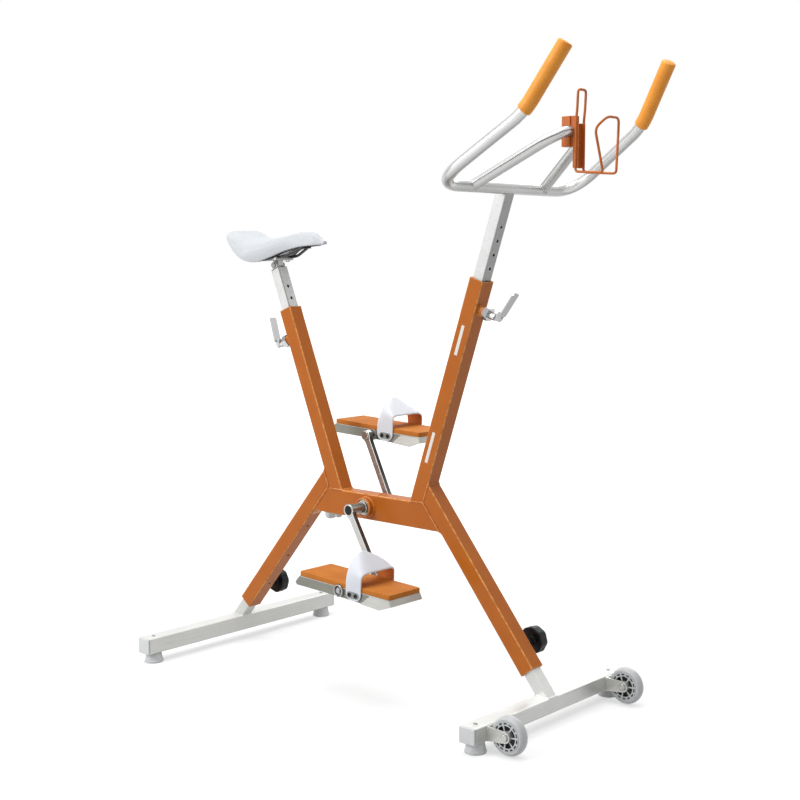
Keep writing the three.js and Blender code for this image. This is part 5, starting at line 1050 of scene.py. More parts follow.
@dataclass
class TubeFrame:
    """The painted tube frame with its welds, bearings and the two plain stripes."""

    fillet: float = 13.0
    fillet_width: float = 31.0
    fillet_sink: float = 2.0
    boss_radius: float = 12.0
    boss_start: float = 17.0
    boss_end: float = 33.0
    boss_edge: float = 1.2
    boss_bead: float = 1.3
    shell_radius: float = 22.0
    shell_bore: float = 18.5
    shell_length: float = 68.0
    shell_bead: float = 1.9
    shell_edge: float = 1.0
    cup_start: float = 20.0
    cup_shoulder: float = 31.5
    cup_radius: float = 15.3
    cup_end: float = 37.3
    cup_edge: float = 0.9
    cup_bore: float = 9.6
    cup_gap: float = 0.2
    leg_holes: Row = (87.0, 194.5, 302.0)
    hole_radius: float = 4.0
    hole_start: float = 14.0
    hole_depth: float = 9.0
    stripes: Triples = ((352, 420, -0.6), (96, 169, -2.0))
    stripe_width: float = 8.0
    stripe_corner: float = 0.6
    stripe_gap: float = 0.05
    stripe_thickness: float = 0.12

    def build(self) -> None:
        """Builds the frame's pieces."""
        beam_top = Plane(at(0, 0, BEAM_TOP), UP)
        self._upright("seat_tube", SEAT_LINE, SEAT_TUBE_LENGTH, beam_top, -1, SEAT_LOCK_DROP)
        self._upright("handlebar_tube", BAR_LINE, BAR_TUBE_LENGTH, beam_top, 1, BAR_LOCK_DROP)
        self._leg("rear_leg", REAR_LEG_LINE, REAR_STEM_SHOWN, SEAT_LINE, -1, 1)
        self._leg("front_leg", FRONT_LEG_LINE, FRONT_STEM_SHOWN, BAR_LINE, 1, -1)
        self._beam()
        self._shell()
        self._stripes()
        for side in (LEFT, RIGHT):
            self._cup(side)
        for name in ("seat", "handlebar", "rear_leg", "front_leg"):
            from_node(f"{name}_sleeve", Look.BLACK_PLASTIC, 0.3)
        from_node("beam_plug", Look.PALE_PLASTIC, 1.2, 20, wide=1.4)

    def _upright(
        self, node: str, line: Line, length: float, foot: Plane, side: int, drop: float
    ) -> None:
        """A tube that stands on the beam, with the boss of its lock and its weld beads."""
        lock = line.point(length - drop)
        out = line.ahead * side
        edge = rim(self.boss_radius, self.boss_end, self.boss_edge, 4)
        start = self.boss_start
        boss = np.vstack([[0, start], [self.boss_radius, start], edge, [0, self.boss_end]])
        shape = FRAME_TUBE.tube(line, foot, line.square(length)) + turned(boss * MM, lock, out)
        stand_in(node, shape, Look.ORANGE_PAINT, bevel=PAINTED_EDGE)
        ring = circle(self.boss_radius * MM, 60)
        round_boss = lock + out * FACE * MM + ring[:, :1] * line.along + ring[:, 1:] * ACROSS
        foot_weld = bead(line.section(FRAME_TUBE.outline(grow=0.4), foot))
        self._welded(node + "_welds", foot_weld + bead(round_boss, self.boss_bead))

    def _welded(self, name: str, beads: Surface) -> None:
        """Painted weld beads, which stay smooth."""
        made(name, beads, Look.ORANGE_PAINT, "frame", sharp=BEAD_SHARP)

    def _leg(
        self, node: str, line: Line, shown: float, upright: Line, toward: int, under: int
    ) -> None:
        """A leg that is mitred against its upright tube, with drain holes in its under face."""
        mitre = Plane(upright.point(0, toward * MITRE), upright.ahead)
        shape = FRAME_TUBE.tube(line, line.square(shown), mitre)
        drill = rod(self.hole_radius, 0, self.hole_depth) * MM
        starts = [line.point(shown + up, under * self.hole_start) for up in self.leg_holes]
        holes = joined(turned(drill, start, line.ahead * under, DRILL_SIDES) for start in starts)
        stand_in(node, shape, Look.ORANGE_PAINT, bevel=PAINTED_EDGE, holes=holes)
        weld = bead(line.section(FRAME_TUBE.outline(grow=BEAD_OFF), mitre))
        self._welded(node + "_weld", weld)

    def _beam(self) -> None:
        """The cross beam between the two legs, with the corner fillets under its ends."""
        rear = Plane(REAR_LEG_LINE.point(0, MITRE), REAR_LEG_LINE.ahead)
        front = Plane(FRONT_LEG_LINE.point(0, -MITRE), FRONT_LEG_LINE.ahead)
        fillets = self._fillet(rear, 1) + self._fillet(front, -1)
        shape = BEAM_TUBE.tube(BEAM_LINE, rear, front) + fillets
        stand_in("cross_beam", shape, Look.ORANGE_PAINT, bevel=PAINTED_EDGE)
        outline = BEAM_TUBE.outline(grow=BEAD_OFF)
        welds = joined(bead(BEAM_LINE.section(outline, plane)) for plane in (rear, front))
        self._welded("cross_beam_welds", welds)

    def _fillet(self, plane: Plane, inward: int) -> Surface:
        """A corner fillet: a quadratic curve from the leg's face to the beam's underside."""
        def face_x(height: float) -> float:
            """The x of the leg's face at a height, in metres."""
            slope = plane.normal[2] / plane.normal[0]
            return plane.point[0] - (height * MM - plane.point[2]) * slope

        corner = np.array([face_x(BEAM_BOTTOM), BEAM_BOTTOM * MM])
        low = np.array([face_x(BEAM_BOTTOM - self.fillet), (BEAM_BOTTOM - self.fillet) * MM])
        tip = corner + [inward * self.fillet * MM, 0]
        t = np.linspace(0, 1, 10)[:, None]
        curve = (1 - t) ** 2 * low + 2 * t * (1 - t) * corner + t**2 * tip
        high = BEAM_BOTTOM + self.fillet_sink
        back = np.array([[tip[0], high * MM], [face_x(high), high * MM]])
        outline = np.vstack([curve, back])
        width = ACROSS * self.fillet_width * MM
        return extruded(outline, -width / 2, FORWARD, UP, width)

    def _shell(self) -> None:
        """The bearing shell that passes through the beam, with a weld on each face."""
        half, middle = self.shell_length / 2, CRANK_CENTRE
        inner, outer, edge = self.shell_bore, self.shell_radius, self.shell_edge
        profile = np.array([
            [inner, -half], [outer - edge, -half], [outer, edge - half],
            [outer, half - edge], [outer - edge, half], [inner, half],
        ])
        ring = turned(profile * MM, middle, ACROSS, 64, looped=True)
        stand_in("crank_shell", ring, Look.ORANGE_PAINT, bevel=0.4)
        line, face = circle((outer + 2 * BEAD_OFF) * MM, 90), BEAM_TUBE.width / 2 * MM
        welds = joined(
            bead(middle + np.insert(line, 1, side * face, axis=1), self.shell_bead)
            for side in (LEFT, RIGHT)
        )
        self._welded("crank_shell_welds", welds)

    def _cup(self, side: int) -> None:
        """A bearing cup: the body in the shell's bore and the narrower ring that stands out."""
        node, wide = f"bearing_cup_{SIDE_NAMES[side]}", self.shell_bore - self.cup_gap
        profile = np.array([
            [self.cup_bore, self.cup_start], [wide, self.cup_start], [wide, self.cup_shoulder],
            [self.cup_radius, self.cup_shoulder], [self.cup_radius, self.cup_end - self.cup_edge],
            [self.cup_radius - self.cup_edge, self.cup_end], [self.cup_bore, self.cup_end],
        ])
        ring = turned(profile * MM, CRANK_CENTRE, ACROSS * side, 56, looped=True)
        stand_in(node, ring, Look.BOSS_METAL, bevel=0.3)

    def _stripes(self) -> None:
        """Two plain pale stripes on the right face of the handlebar tube."""
        shapes = []
        face = FRAME_TUBE.width / 2 + self.stripe_gap
        raised = -ACROSS * self.stripe_thickness * MM
        for low, high, ahead in self.stripes:
            outline = rounded_outline(high - low, self.stripe_width, self.stripe_corner, 3) * MM
            start = BAR_LINE.point((low + high) / 2, ahead) - ACROSS * face * MM
            shapes.append(extruded(outline, start, BAR_LINE.along, BAR_LINE.ahead, raised))
        made("tube_stripes", joined(shapes), Look.STRIPE_PAINT, "frame")


@dataclass(frozen=True)
class Post:
    """A square post that slides in an upright tube, with index holes at one pitch."""

    line: Line
    tube_length: float
    insert: float
    shown: float
    lock_drop: float
    above: int
    below: int = 3
    pitch: float = 30.5

    @property
    def top(self) -> float:
        """Distance of the post's upper end along the tube's axis, in millimetres."""
        return self.tube_length + self.shown

    def tube(self, top: Plane) -> Surface:
        """The post's open tube, from its end inside the upright to a plane."""
        return POST_TUBE.tube(self.line, self.line.square(self.tube_length - self.insert), top)

    def turned_at_holes(
        self, profile: Array, first: int, ahead: float = 0.0, looped: bool = False
    ) -> Surface:
        """The same turned profile at each hole.

        Args:
            profile: Rows of radius and distance along the holes, in millimetres.
            first: The lowest hole's number, counted from the lock.
            ahead: How far ahead of the post's axis the distance is zero, in millimetres.
            looped: Whether the profile closes on itself.

        Returns:
            The surface.
        """
        start = self.tube_length - self.lock_drop
        steps = range(first, self.above + 1)
        spots = [self.line.point(start + step * self.pitch, ahead) for step in steps]
        row = profile * MM
        return joined(turned(row, spot, self.line.ahead, DRILL_SIDES, looped) for spot in spots)


SEAT_POST = Post(SEAT_LINE, SEAT_TUBE_LENGTH, 175, 104, SEAT_LOCK_DROP, above=4)
BAR_POST = Post(BAR_LINE, BAR_TUBE_LENGTH, 250, 190, BAR_LOCK_DROP, above=6)


@dataclass
class SeatAssembly:
    """The holed post, the clamp, the rails and the padded saddle."""

    hole_radius: float = 4.0
    drill_reach: float = 20.0
    lid: float = 2.0
    ear_radius: float = 9.0
    ear: Pair = (8.3, 13.3)
    rails_over_bolt: float = 14.7
    rail_radius: float = 3.5
    rail_half: Triples = ((-80, 33, 23), (-63, 21, 0), (45, 21, 6), (98, 9, 29))
    rail_bends: Row = (10.5, 14, 7)
    length: float = 301.4
    rear: float = -141.2
    least_half: float = 3.5
    least_rise: float = 1.5
    crowding: Pair = (0.35, 0.5)
    pad: float = 9.0
    top_rises: Row = (66.6, 70, 64.1, 55.5, 50, 51, 55, 61.3, 63.8, 61, 43.5)
    edge_rises: Row = (40, 31.5, 13.5, -1.0, -4.5, 6.0, 19, 28, 33, 35, 36.2)
    half_widths: Row = (43, 75, 83, 80.5, 65.5, 48, 33.5, 22, 19.5, 18, 7.5)
    powers: Row = (3.9, 1.6, 2.5, 3.1, 2.4, 1.9)
    tucks: Row = (0.29, 0.14, 0.11, 0.12)
    base_drops: Row = (0, 0, 0, 0, 2.5, 6, 6, 5, 4.5, 4, 3.5)
    sockets: tuple[tuple[Pair, Pair, float, float], ...] = (
        ((-73, -31), (28, 13), 16, 38), ((-73, 31), (28, 13), 16, 38), ((94, 0), (22, 22), 25, 44),
    )
    socket_corner: float = 3.0
    base_span: Pair = (0.06, 0.93)
    base_cells: tuple[int, int] = (48, 33)
    base_thickness: float = 2.6
    end_reach: float = 2.0
    lip_drop: float = 0.8
    rings: int = 66
    arch_points: int = 45
    lip_points: int = 7

    @property
    def home(self) -> Array:
        """The point over the tilt bolt at the rails' height, in metres."""
        pivot = SEAT_LINE.point(SEAT_POST.top + self.ear_radius)
        return pivot + UP * self.rails_over_bolt * MM

    def build(self) -> None:
        """Builds the seat's pieces."""
        self._post()
        from_node("saddle_cradle", Look.SATIN_STEEL, 0.5)
        from_node("saddle_clamp_plate", Look.SATIN_STEEL, 0.6, wide=0.8)
        self._base()
        self._rails()
        self._cover()

    def _post(self) -> None:
        """The square post with its two rows of holes, its lid and the two ears of the bolt."""
        line, top = SEAT_LINE, SEAT_POST.top
        shape = SEAT_POST.tube(line.square(top))
        lid = line.section(POST_TUBE.outline(), line.square(top - self.lid))
        shape = shape + grid(np.stack([lid, lid + line.along * self.lid * MM]))
        inner, outer = self.ear
        angles = np.linspace(0, np.pi, 19)
        arch = np.stack([np.cos(angles), np.sin(angles) + 1], 1) * self.ear_radius
        outline = np.vstack([arch, [[-self.ear_radius, -1], [self.ear_radius, -1]]]) * MM
        for side in (LEFT, RIGHT):
            start = line.point(top) + ACROSS * side * inner * MM
            reach = ACROSS * side * (outer - inner) * MM
            shape = shape + extruded(outline, start, line.ahead, line.along, reach)
        drill = rod(self.hole_radius, -self.drill_reach, self.drill_reach)
        holes = SEAT_POST.turned_at_holes(drill, -SEAT_POST.below)
        stand_in("seat_post", shape, Look.SEAT_STEEL, bevel=0.5, holes=holes)

    def _base(self) -> None:
        """The shell under the padding, whose edge hangs below the skin, and the rails' sockets."""
        along, over = self.base_cells
        shares, around = np.linspace(*self.base_span, along), np.linspace(0, 1, over)
        drop = smooth_row(self.base_drops, shares)[:, None, None] * UP * MM
        inset = self.pad / 2
        outer = self.section(shares, inset, around) - drop
        inner = self.section(shares, inset + self.base_thickness, around[::-1]) - drop
        shape = grid(np.concatenate([outer, inner], axis=1))
        for place, size, low, high in self.sockets:
            middle = self.home + np.array([*place, low]) * MM
            outline = rounded_outline(*size, self.socket_corner) * MM
            shape = shape + extruded(outline, middle, FORWARD, ACROSS, UP * (high - low) * MM)
        stand_in("saddle_base", shape, Look.BLACK_PLASTIC, sharp=50, bevel=0.4)

    def _rails(self) -> None:
        """The rails: one wire bent back on itself under the nose."""
        path = mirrored_path(self.rail_half, self.rail_bends, self.home)
        shape = carried(path, circle(self.rail_radius * MM, 20))
        stand_in("saddle_rails", shape, Look.RAIL_COAT)

    def section(self, shares: Array, inset: float, around: Array) -> Array:
        """The saddle's arch: a superellipse over the lower edge, whose foot is tucked in.

        Args:
            shares: Places along the saddle from tail to nose, as (ring,).
            inset: How far inside the skin, in millimetres.
            around: Places round the arch, 0 at the left edge and 1 at the right, as (around,).

        Returns:
            Points in metres, as (ring, around, 3).
        """
        half = np.maximum(smooth_row(self.half_widths, shares) - inset, self.least_half)[:, None]
        edge = smooth_row(self.edge_rises, shares)[:, None]
        high = smooth_row(self.top_rises, shares)[:, None]
        top = np.maximum(high - edge - inset, self.least_rise)
        angle = np.pi * around[None]
        power = 2 / smooth_row(self.powers, shares)[:, None]
        rise = np.abs(np.sin(angle)) ** power
        y = half * (1 - smooth_row(self.tucks, shares)[:, None] * (1 - rise) ** 2)
        y = y * np.sign(np.cos(angle)) * np.abs(np.cos(angle)) ** power
        x = (self.length * shares + self.rear)[:, None] + 0 * y
        return np.stack([x, y, edge + top * rise], axis=2) * MM + self.home

    def _cover(self) -> None:
        """The padded cover: a crowned skin that rolls under its lower edge to a hollow inside.

        Each ring runs over the outer arch, round a half-circle lip, back along the inner arch and
        round the other lip. The tail and the nose close by rings that shrink as a quarter circle.
        """
        along, over = self.crowding
        shares, around = eased(self.rings, along), eased(self.arch_points, over)
        outer = self.section(shares, 0, around)
        inner = self.section(shares, self.pad, around[::-1])
        right = self._lip(outer[:, -1], inner[:, 0])
        left = self._lip(inner[:, -1], outer[:, 0])
        rings = np.concatenate([outer, right, inner, left], axis=1)
        rings = np.concatenate([self._closing(rings, -1), rings, self._closing(rings, 1)])
        piece = stand_in("saddle_cover", grid(rings), Look.SADDLE_SKIN, sharp=180)
        finer = piece.modifiers.new("finer", "SUBSURF")
        finer.levels = finer.render_levels = 1

    def _lip(self, start: Array, end: Array) -> Array:
        """Points from one edge to another round a half circle that hangs below both."""
        angles = np.linspace(0, np.pi, self.lip_points + 2)[1:-1]
        middle, reach = (start + end) / 2, (start - end) / 2
        drop = np.linalg.norm(reach, axis=1)[:, None] * UP * -self.lip_drop
        cosine, sine = np.cos(angles)[:, None], np.sin(angles)[:, None]
        return middle[:, None] + cosine * reach[:, None] + sine * drop[:, None]

    def _closing(self, rings: Array, end: int) -> Array:
        """Rings that close an end along a quarter circle.

        The tail's shrink to their middle, and the nose's to the middle of the wall, where each
        point meets its partner on the wall's other face.
        """
        last = rings[0] if end < 0 else rings[-1]
        middle = last.mean(axis=0)
        if end > 0:
            count, lip = self.arch_points, self.lip_points
            outer, inner = np.arange(count), np.arange(count)[::-1] + count + lip
            right = np.arange(lip)[::-1] + count
            left = np.arange(lip)[::-1] + 2 * count + lip
            partner = np.concatenate([inner, right, outer[::-1], left])
            middle = (last + last[partner]) / 2
        angles = np.linspace(0, np.pi / 2, 7)[1:]
        reach = self.end_reach * MM * end * np.sin(angles)[:, None, None] * FORWARD
        shrunk = middle + (last - middle)[None] * np.cos(angles)[:, None, None] + reach
        return shrunk[::-1] if end < 0 else shrunk


@dataclass
class Handlebar:
    """The bent bar on its post, the narrowing loop, the grips and the bottle cage."""

    run_up: float = 9.84
    run_ahead: float = 4.43
    post_drop: float = 4.0
    drill: Triple = (4.0, 6.0, 20.0)
    hole_rim: Four = (5.4, -0.4, 0.06, 4.1)
    first_rim: int = 3
    bracket: Triple = (8.0, 26.0, 22.0)
    bracket_corner: float = 2.0
    bracket_drop: float = 14.0
    bolt_up: float = 12.0
    bolt_out: float = 7.0
    bolt: Pair = (7.0, 4.0)
    bar_radius: float = 12.0
    loop_radius: float = 11.0
    grip_radius: float = 15.0
    grip_edge: float = 3.2
    grip_knee: float = 30.0
    end_cut: float = 3.0
    grip_start: Triple = (191, 203.8, 127.4)
    grip_end: Triple = (268, 180.7, 251)
    corner: Triple = (0, 235, 0)
    corner_bend: float = 75.0
    grip_lead: float = 2.0
    grip_gap: float = 0.3
    loop_base: Triple = (0, 121, 0)
    loop_shoulder: Triple = (137.8, 55.7, 88.6)
    loop_apex: Triple = (160, 22, 107)
    loop_bends: Pair = (20, 11)
    loop_bead: float = 1.3
    bead_gaps: Pair = (0.4, 0.2)
    grip_step: float = 2.2
    wire_step: float = 2.0
    wire_radius: float = 2.6
    wire: Triples = (
        (21, 13.5, 187), (19.3, 13.5, 150), (17, 13.5, 127.7), (17, 14, 27),
        (88, 23, 22), (80, 41, 106), (94, 20, 129),
    )
    wire_bends: Row = (7.8, 3.9, 3.9, 7.8, 7.8, 12.5, 12.5)

    @property
    def run(self) -> Array:
        """Middle of the bar's straight run, in metres."""
        return BAR_LINE.point(BAR_POST.top + self.run_up, self.run_ahead)

    def build(self) -> None:
        """Builds the handlebar's pieces."""
        self._post()
        self._bar()
        self._loop()
        for side in (LEFT, RIGHT):
            self._grip(side)
        from_node("cage_clamp", Look.CAGE_PAINT, 0.5)
        from_node("cage_plate", Look.CAGE_PAINT, 0.5, wide=0.72, ahead=-5)
        self._wire()

    def _post(self) -> None:
        """The square post with holes in its front face and the bracket behind its top."""
        line = BAR_LINE
        shape = BAR_POST.tube(Plane(self.run - UP * self.post_drop * MM, UP))
        depth, width, height = self.bracket
        base = line.point(BAR_POST.top - self.bracket_drop, -POST_TUBE.depth / 2)
        outline = rounded_outline(depth, width, self.bracket_corner) * MM
        shape = shape + extruded(outline, base, line.ahead, line.side, line.along * height * MM)
        holes = BAR_POST.turned_at_holes(rod(*self.drill), -BAR_POST.below)
        stand_in("handlebar_post", shape, Look.BAR_POST_STEEL, bevel=0.5, holes=holes)
        rim_row = rod(*self.hole_rim), self.first_rim, POST_TUBE.depth / 2
        rims = BAR_POST.turned_at_holes(*rim_row, looped=True)
        made("handlebar_post_rims", rims, Look.HOLE_RIM, "handlebar", sharp=50)
        place = base + (line.along * self.bolt_up - line.ahead * depth / 2) * MM
        bolts = joined(
            hex_bolt(place + ACROSS * side * self.bolt_out * MM, -line.ahead, *self.bolt)
            for side in (LEFT, RIGHT)
        )
        made("handlebar_bracket_bolts", bolts, Look.SATIN_STEEL, "handlebar", bevel=0.3)

    def _bar(self) -> None:
        """The whole bar as one bent tube."""
        end = np.array(self.grip_end)
        end = end - unit(end - np.array(self.grip_start)) * self.end_cut
        half = [end, self.grip_start, self.corner]
        path = mirrored_path(half, [self.grip_knee, self.corner_bend], self.run, 16)
        stand_in("handlebar", carried(path, circle(self.bar_radius * MM, 40)), Look.BAR_STEEL)

    def _loop(self) -> None:
        """The narrowing loop, and a weld bead where each end meets the bar."""
        half = [self.loop_base, self.loop_shoulder, self.loop_apex]
        path = mirrored_path(half, self.loop_bends, self.run, 16)
        tube = carried(path, circle(self.loop_radius * MM, 36))
        stand_in("handlebar_loop", tube, Look.LOOP_STEEL)
        welds = []
        for side in (LEFT, RIGHT):
            start = np.array(self.loop_base) * [1, side, 1] * MM + self.run
            ahead = unit(np.array(self.loop_shoulder) * [1, side, 1] * MM + self.run - start)
            welds.append(bead(self._cope(start, ahead), self.loop_bead))
        made("loop_welds", joined(welds), Look.BAR_STEEL, "handlebar", sharp=BEAD_SHARP)

    def _cope(self, start: Array, ahead: Array) -> Array:
        """Where the loop's round side meets the bar: each side line's distance to the bar's wall.

        A side line starts at the loop's circle and runs ahead. It leaves the bar, whose axis is y,
        where the squares of its x and z offsets add up to the bar's radius squared.
        """
        first = unit(np.cross(ahead, UP))
        second = np.cross(first, ahead)
        loop_gap, bar_gap = self.bead_gaps
        spin = circle((self.loop_radius + loop_gap) * MM, 72)
        offsets = spin[:, :1] * first + spin[:, 1:] * second
        radius = (self.bar_radius + bar_gap) * MM
        slope = ahead[0] ** 2 + ahead[2] ** 2
        cross = offsets[:, 0] * ahead[0] + offsets[:, 2] * ahead[2]
        short = offsets[:, 0] ** 2 + offsets[:, 2] ** 2 - radius**2
        run = (-cross + np.sqrt(np.maximum(cross**2 - slope * short, 0))) / slope
        return start + offsets + run[:, None] * ahead

    def _grip(self, side: int) -> None:
        """A foam grip that follows the bar's small bend, with rounded ends."""
        flip = [1, side, 1]
        knee, end = np.array(self.grip_start) * flip, np.array(self.grip_end) * flip
        low = knee + unit(np.array(self.corner) * flip - knee) * self.grip_knee
        bend = (self.grip_knee - self.grip_gap) * MM
        path = bent_path(np.stack([low, knee, end]) * MM + self.run, [bend], 30)
        path = path[run_so_far(path) > (self.grip_knee - self.grip_lead) * MM]
        path = resampled(path, self.grip_step * MM)
        run = run_so_far(path)
        edge = self.grip_edge * MM
        from_end = np.minimum(np.minimum(run, run[-1] - run) / edge, 1)
        swell = self.grip_radius * MM - edge * (1 - np.sqrt(1 - (1 - from_end) ** 2))
        shape = carried(path, swell[:, None, None] * circle(1.0, 44)[None])
        piece = stand_in(f"grip_{SIDE_NAMES[side]}", shape, Look.GRIP_FOAM, sharp=50)

    def _wire(self) -> None:
        """The cage's closed wire: hoop, sides of the plate, floor and front arch."""
        left = np.array(self.wire) + [self.loop_apex[0], 0, 0]
        half = np.vstack([left[:1] * [1, 0, 1], left])
        path = mirrored_path(half, self.wire_bends, self.run, 10)[:-1]
        path = resampled(path, self.wire_step * MM, closed=True)
        shape = carried(path, circle(self.wire_radius * MM, 14), looped=True)
        stand_in("cage_wire", shape, Look.CAGE_PAINT)


@dataclass
class Locks:
    """The two index locks: barrel, pin and lever."""

    def build(self) -> None:
        """Dresses both locks."""
        for name in ("seat", "handlebar"):
            from_node(f"{name}_lock_barrel", Look.LOCK_CHROME, 0.5)
            from_node(f"{name}_lock_pin", Look.SATIN_STEEL, 0.2)
            from_node(f"{name}_lock_lever", Look.LOCK_CHROME, 0.6)


@dataclass
class CrossFoot:
    """A cross foot: square tube, stem, end caps, rubber pads and their screws."""

    name: str
    x: float
    length: float
    height: float
    bottom: float
    line: Line
    shown: float
    pad_inset: float
    stem_inside: float = 180.0
    stem_sink: float = 1.0
    stem_bead: float = 1.8
    flange: float = 5.0
    pad_top: float = 18.0
    pad_base: float = 22.5
    pad_edge: float = 1.5
    pad_sink: float = 0.3
    pad_band: Triple = (4.6, 5.4, 1.1)
    pad_neck: Triple = (0.9, 4.0, 1.6)
    plug_radius: float = 5.0
    plug_height: float = 9.0
    screw: Pair = (4.6, 1.8)
    screw_sink: float = 0.4

    def build(self) -> None:
        """Builds the foot's pieces."""
        half = self.length / 2 - self.flange
        line = Line(at(self.x, 0, self.bottom + self.height / 2), ACROSS, UP)
        section = Profile(self.height, FRAME_TUBE.width, 3, FRAME_TUBE.wall)
        shape = section.tube(line, line.square(-half), line.square(half))
        high = self.bottom + self.height
        top = Plane(at(self.x, 0, high - self.stem_sink), UP)
        stem = POST_TUBE.tube(self.line, top, self.line.square(self.shown + self.stem_inside))
        body = f"{self.name}_foot"
        stand_in(body, shape + stem, Look.FOOT_STEEL, bevel=0.5)
        seat = Plane(at(self.x, 0, high), UP)
        outline = POST_TUBE.outline(grow=BEAD_OFF)
        weld = bead(self.line.section(outline, seat), self.stem_bead)
        made(body + "_weld", weld, Look.FOOT_STEEL, body, sharp=BEAD_SHARP)
        screws = []
        for side in (LEFT, RIGHT):
            from_node(f"{self.name}_cap_{SIDE_NAMES[side]}", Look.PALE_PLASTIC, 0.8)
            self._pad(side)
            place = self._pad_place(side, high - self.screw_sink)
            screws.append(socket_screw(place, UP, *self.screw))
        made(body + "_screws", joined(screws), Look.SATIN_STEEL, body, bevel=0.2)

    def _pad_place(self, side: int, height: float) -> Array:
        """A point on a pad's axis at a height in millimetres."""
        return at(self.x, side * (self.length / 2 - self.pad_inset), height)

    def _pad(self, side: int) -> None:
        """A conical rubber pad with a rounded sole and a ribbed foot edge."""
        height, base, top = self.bottom - self.pad_sink, self.pad_base, self.pad_top
        low, high, step = self.pad_band
        flare, drop, edge = self.pad_neck
        plug = self.plug_radius
        sole = rim(base, 0, self.pad_edge)[::-1] * [1, -1]
        end = height + self.plug_height
        profile = np.vstack([
            [0, 0], [base - self.pad_edge, 0], sole, [base, low], [base - step, high],
            [top + flare, height - drop], [top, height - edge], [top - edge, height],
            [plug, height], [plug, end], [0, end],
        ])
        pad = turned(profile * MM, self._pad_place(side, 0), UP, 56)
        node = f"{self.name}_pad_{SIDE_NAMES[side]}"
        stand_in(node, pad, Look.PAD_RUBBER, sharp=28, bevel=0.3)


@dataclass
class TransportWheel:
    """A small wheel: soft tyre, windowed core discs and the fork that carries it."""

    side: int
    x: float = 562.5
    y: float = 210.0
    z: float = 41.5
    radius: float = 40.0
    half_width: float = 12.0
    seat_half: float = 11.0
    core_radius: float = 26.0
    tyre_bore: float = 30.0
    bolt_out: float = 17.2
    bolt: Pair = (7.6, 4.2)
    boss: Pairs = (
        (4.2, -12.6), (9.6, -12.6), (10.4, -11.8), (10.4, 11.8), (9.6, 12.6), (4.2, 12.6),
    )
    disc_rows: Row = (10.0, 11.6, 22.6, 25.0, 28.6, 30.4)
    disc_out: float = 11.6
    disc_thickness: float = 1.8
    drum: Four = (29.8, -11.0, 11.0, 22.8)
    web: Four = (22.4, -3.0, 3.0, 10.4)
    spokes: int = 7
    window_share: float = 0.82
    slots: int = 14
    slot_share: float = 0.66
    cells: int = 280

    def build(self) -> None:
        """Builds the wheel's pieces."""
        name = SIDE_NAMES[self.side]
        self._tyre(name)
        self._core(name)
        from_node(f"wheel_fork_{name}", Look.FORK_STEEL, 0.6)
        bolts = joined(
            socket_screw(self._middle(face * self.bolt_out), ACROSS * face, *self.bolt)
            for face in (LEFT, RIGHT)
        )
        made(f"wheel_bolt_{name}", bolts, Look.LOCK_CHROME, "front_foot", bevel=0.2)

    def _tyre(self, name: str) -> None:
        """The tyre: a rounded tread between two gently hollowed side faces."""
        half, inner = self.half_width, self.tyre_bore
        shoulder = (self.radius + self.core_radius) / 2
        angles = np.linspace(-np.pi / 2, np.pi / 2, 25)
        out = shoulder + (self.radius - shoulder) * np.cos(angles)
        tread = np.stack([out, half * np.sin(angles)], 1)
        profile = np.vstack([[inner, -self.seat_half], tread, [inner, self.seat_half]])
        shape = turned(profile * MM, self._middle(), ACROSS, 96, looped=True)
        stand_in(f"wheel_tyre_{name}", shape, Look.TYRE, sharp=40)

    def _middle(self, across: float = 0.0) -> Array:
        """The wheel's middle, or a point of its axle beside it by millimetres, in metres."""
        return at(self.x, self.side * self.y + across, self.z)

    def _core(self, name: str) -> None:
        """The core: a dark drum between two pale discs with spoke windows and rim slots."""
        boss = turned(np.array(self.boss) * MM, self._middle(), ACROSS, 48, looped=True)
        turn = (np.arange(self.cells) + 0.5) / self.cells
        skipped = np.zeros((len(self.disc_rows) - 1, self.cells), bool)
        skipped[1] = (turn * self.spokes) % 1 < self.window_share
        skipped[3] = (turn * self.slots) % 1 < self.slot_share
        places = [self._middle(face * self.disc_out) for face in (RIGHT, LEFT)]
        rows, thick = self.disc_rows, self.disc_thickness
        discs = [slotted_ring(rows, skipped, place, ACROSS, thick) for place in places]
        made(
            f"wheel_core_{name}", joined([boss, *discs]), Look.HUB_PLASTIC, f"{name}_wheel",
            [f"wheel_hub_{name}"], bevel=0.25,
        )
        dark = joined(
            turned(rod(*sizes) * MM, self._middle(), ACROSS, 64, looped=True)
            for sizes in (self.drum, self.web)
        )
        made(f"wheel_drum_{name}", dark, Look.DARK_CORE, f"{name}_wheel", sharp=40)


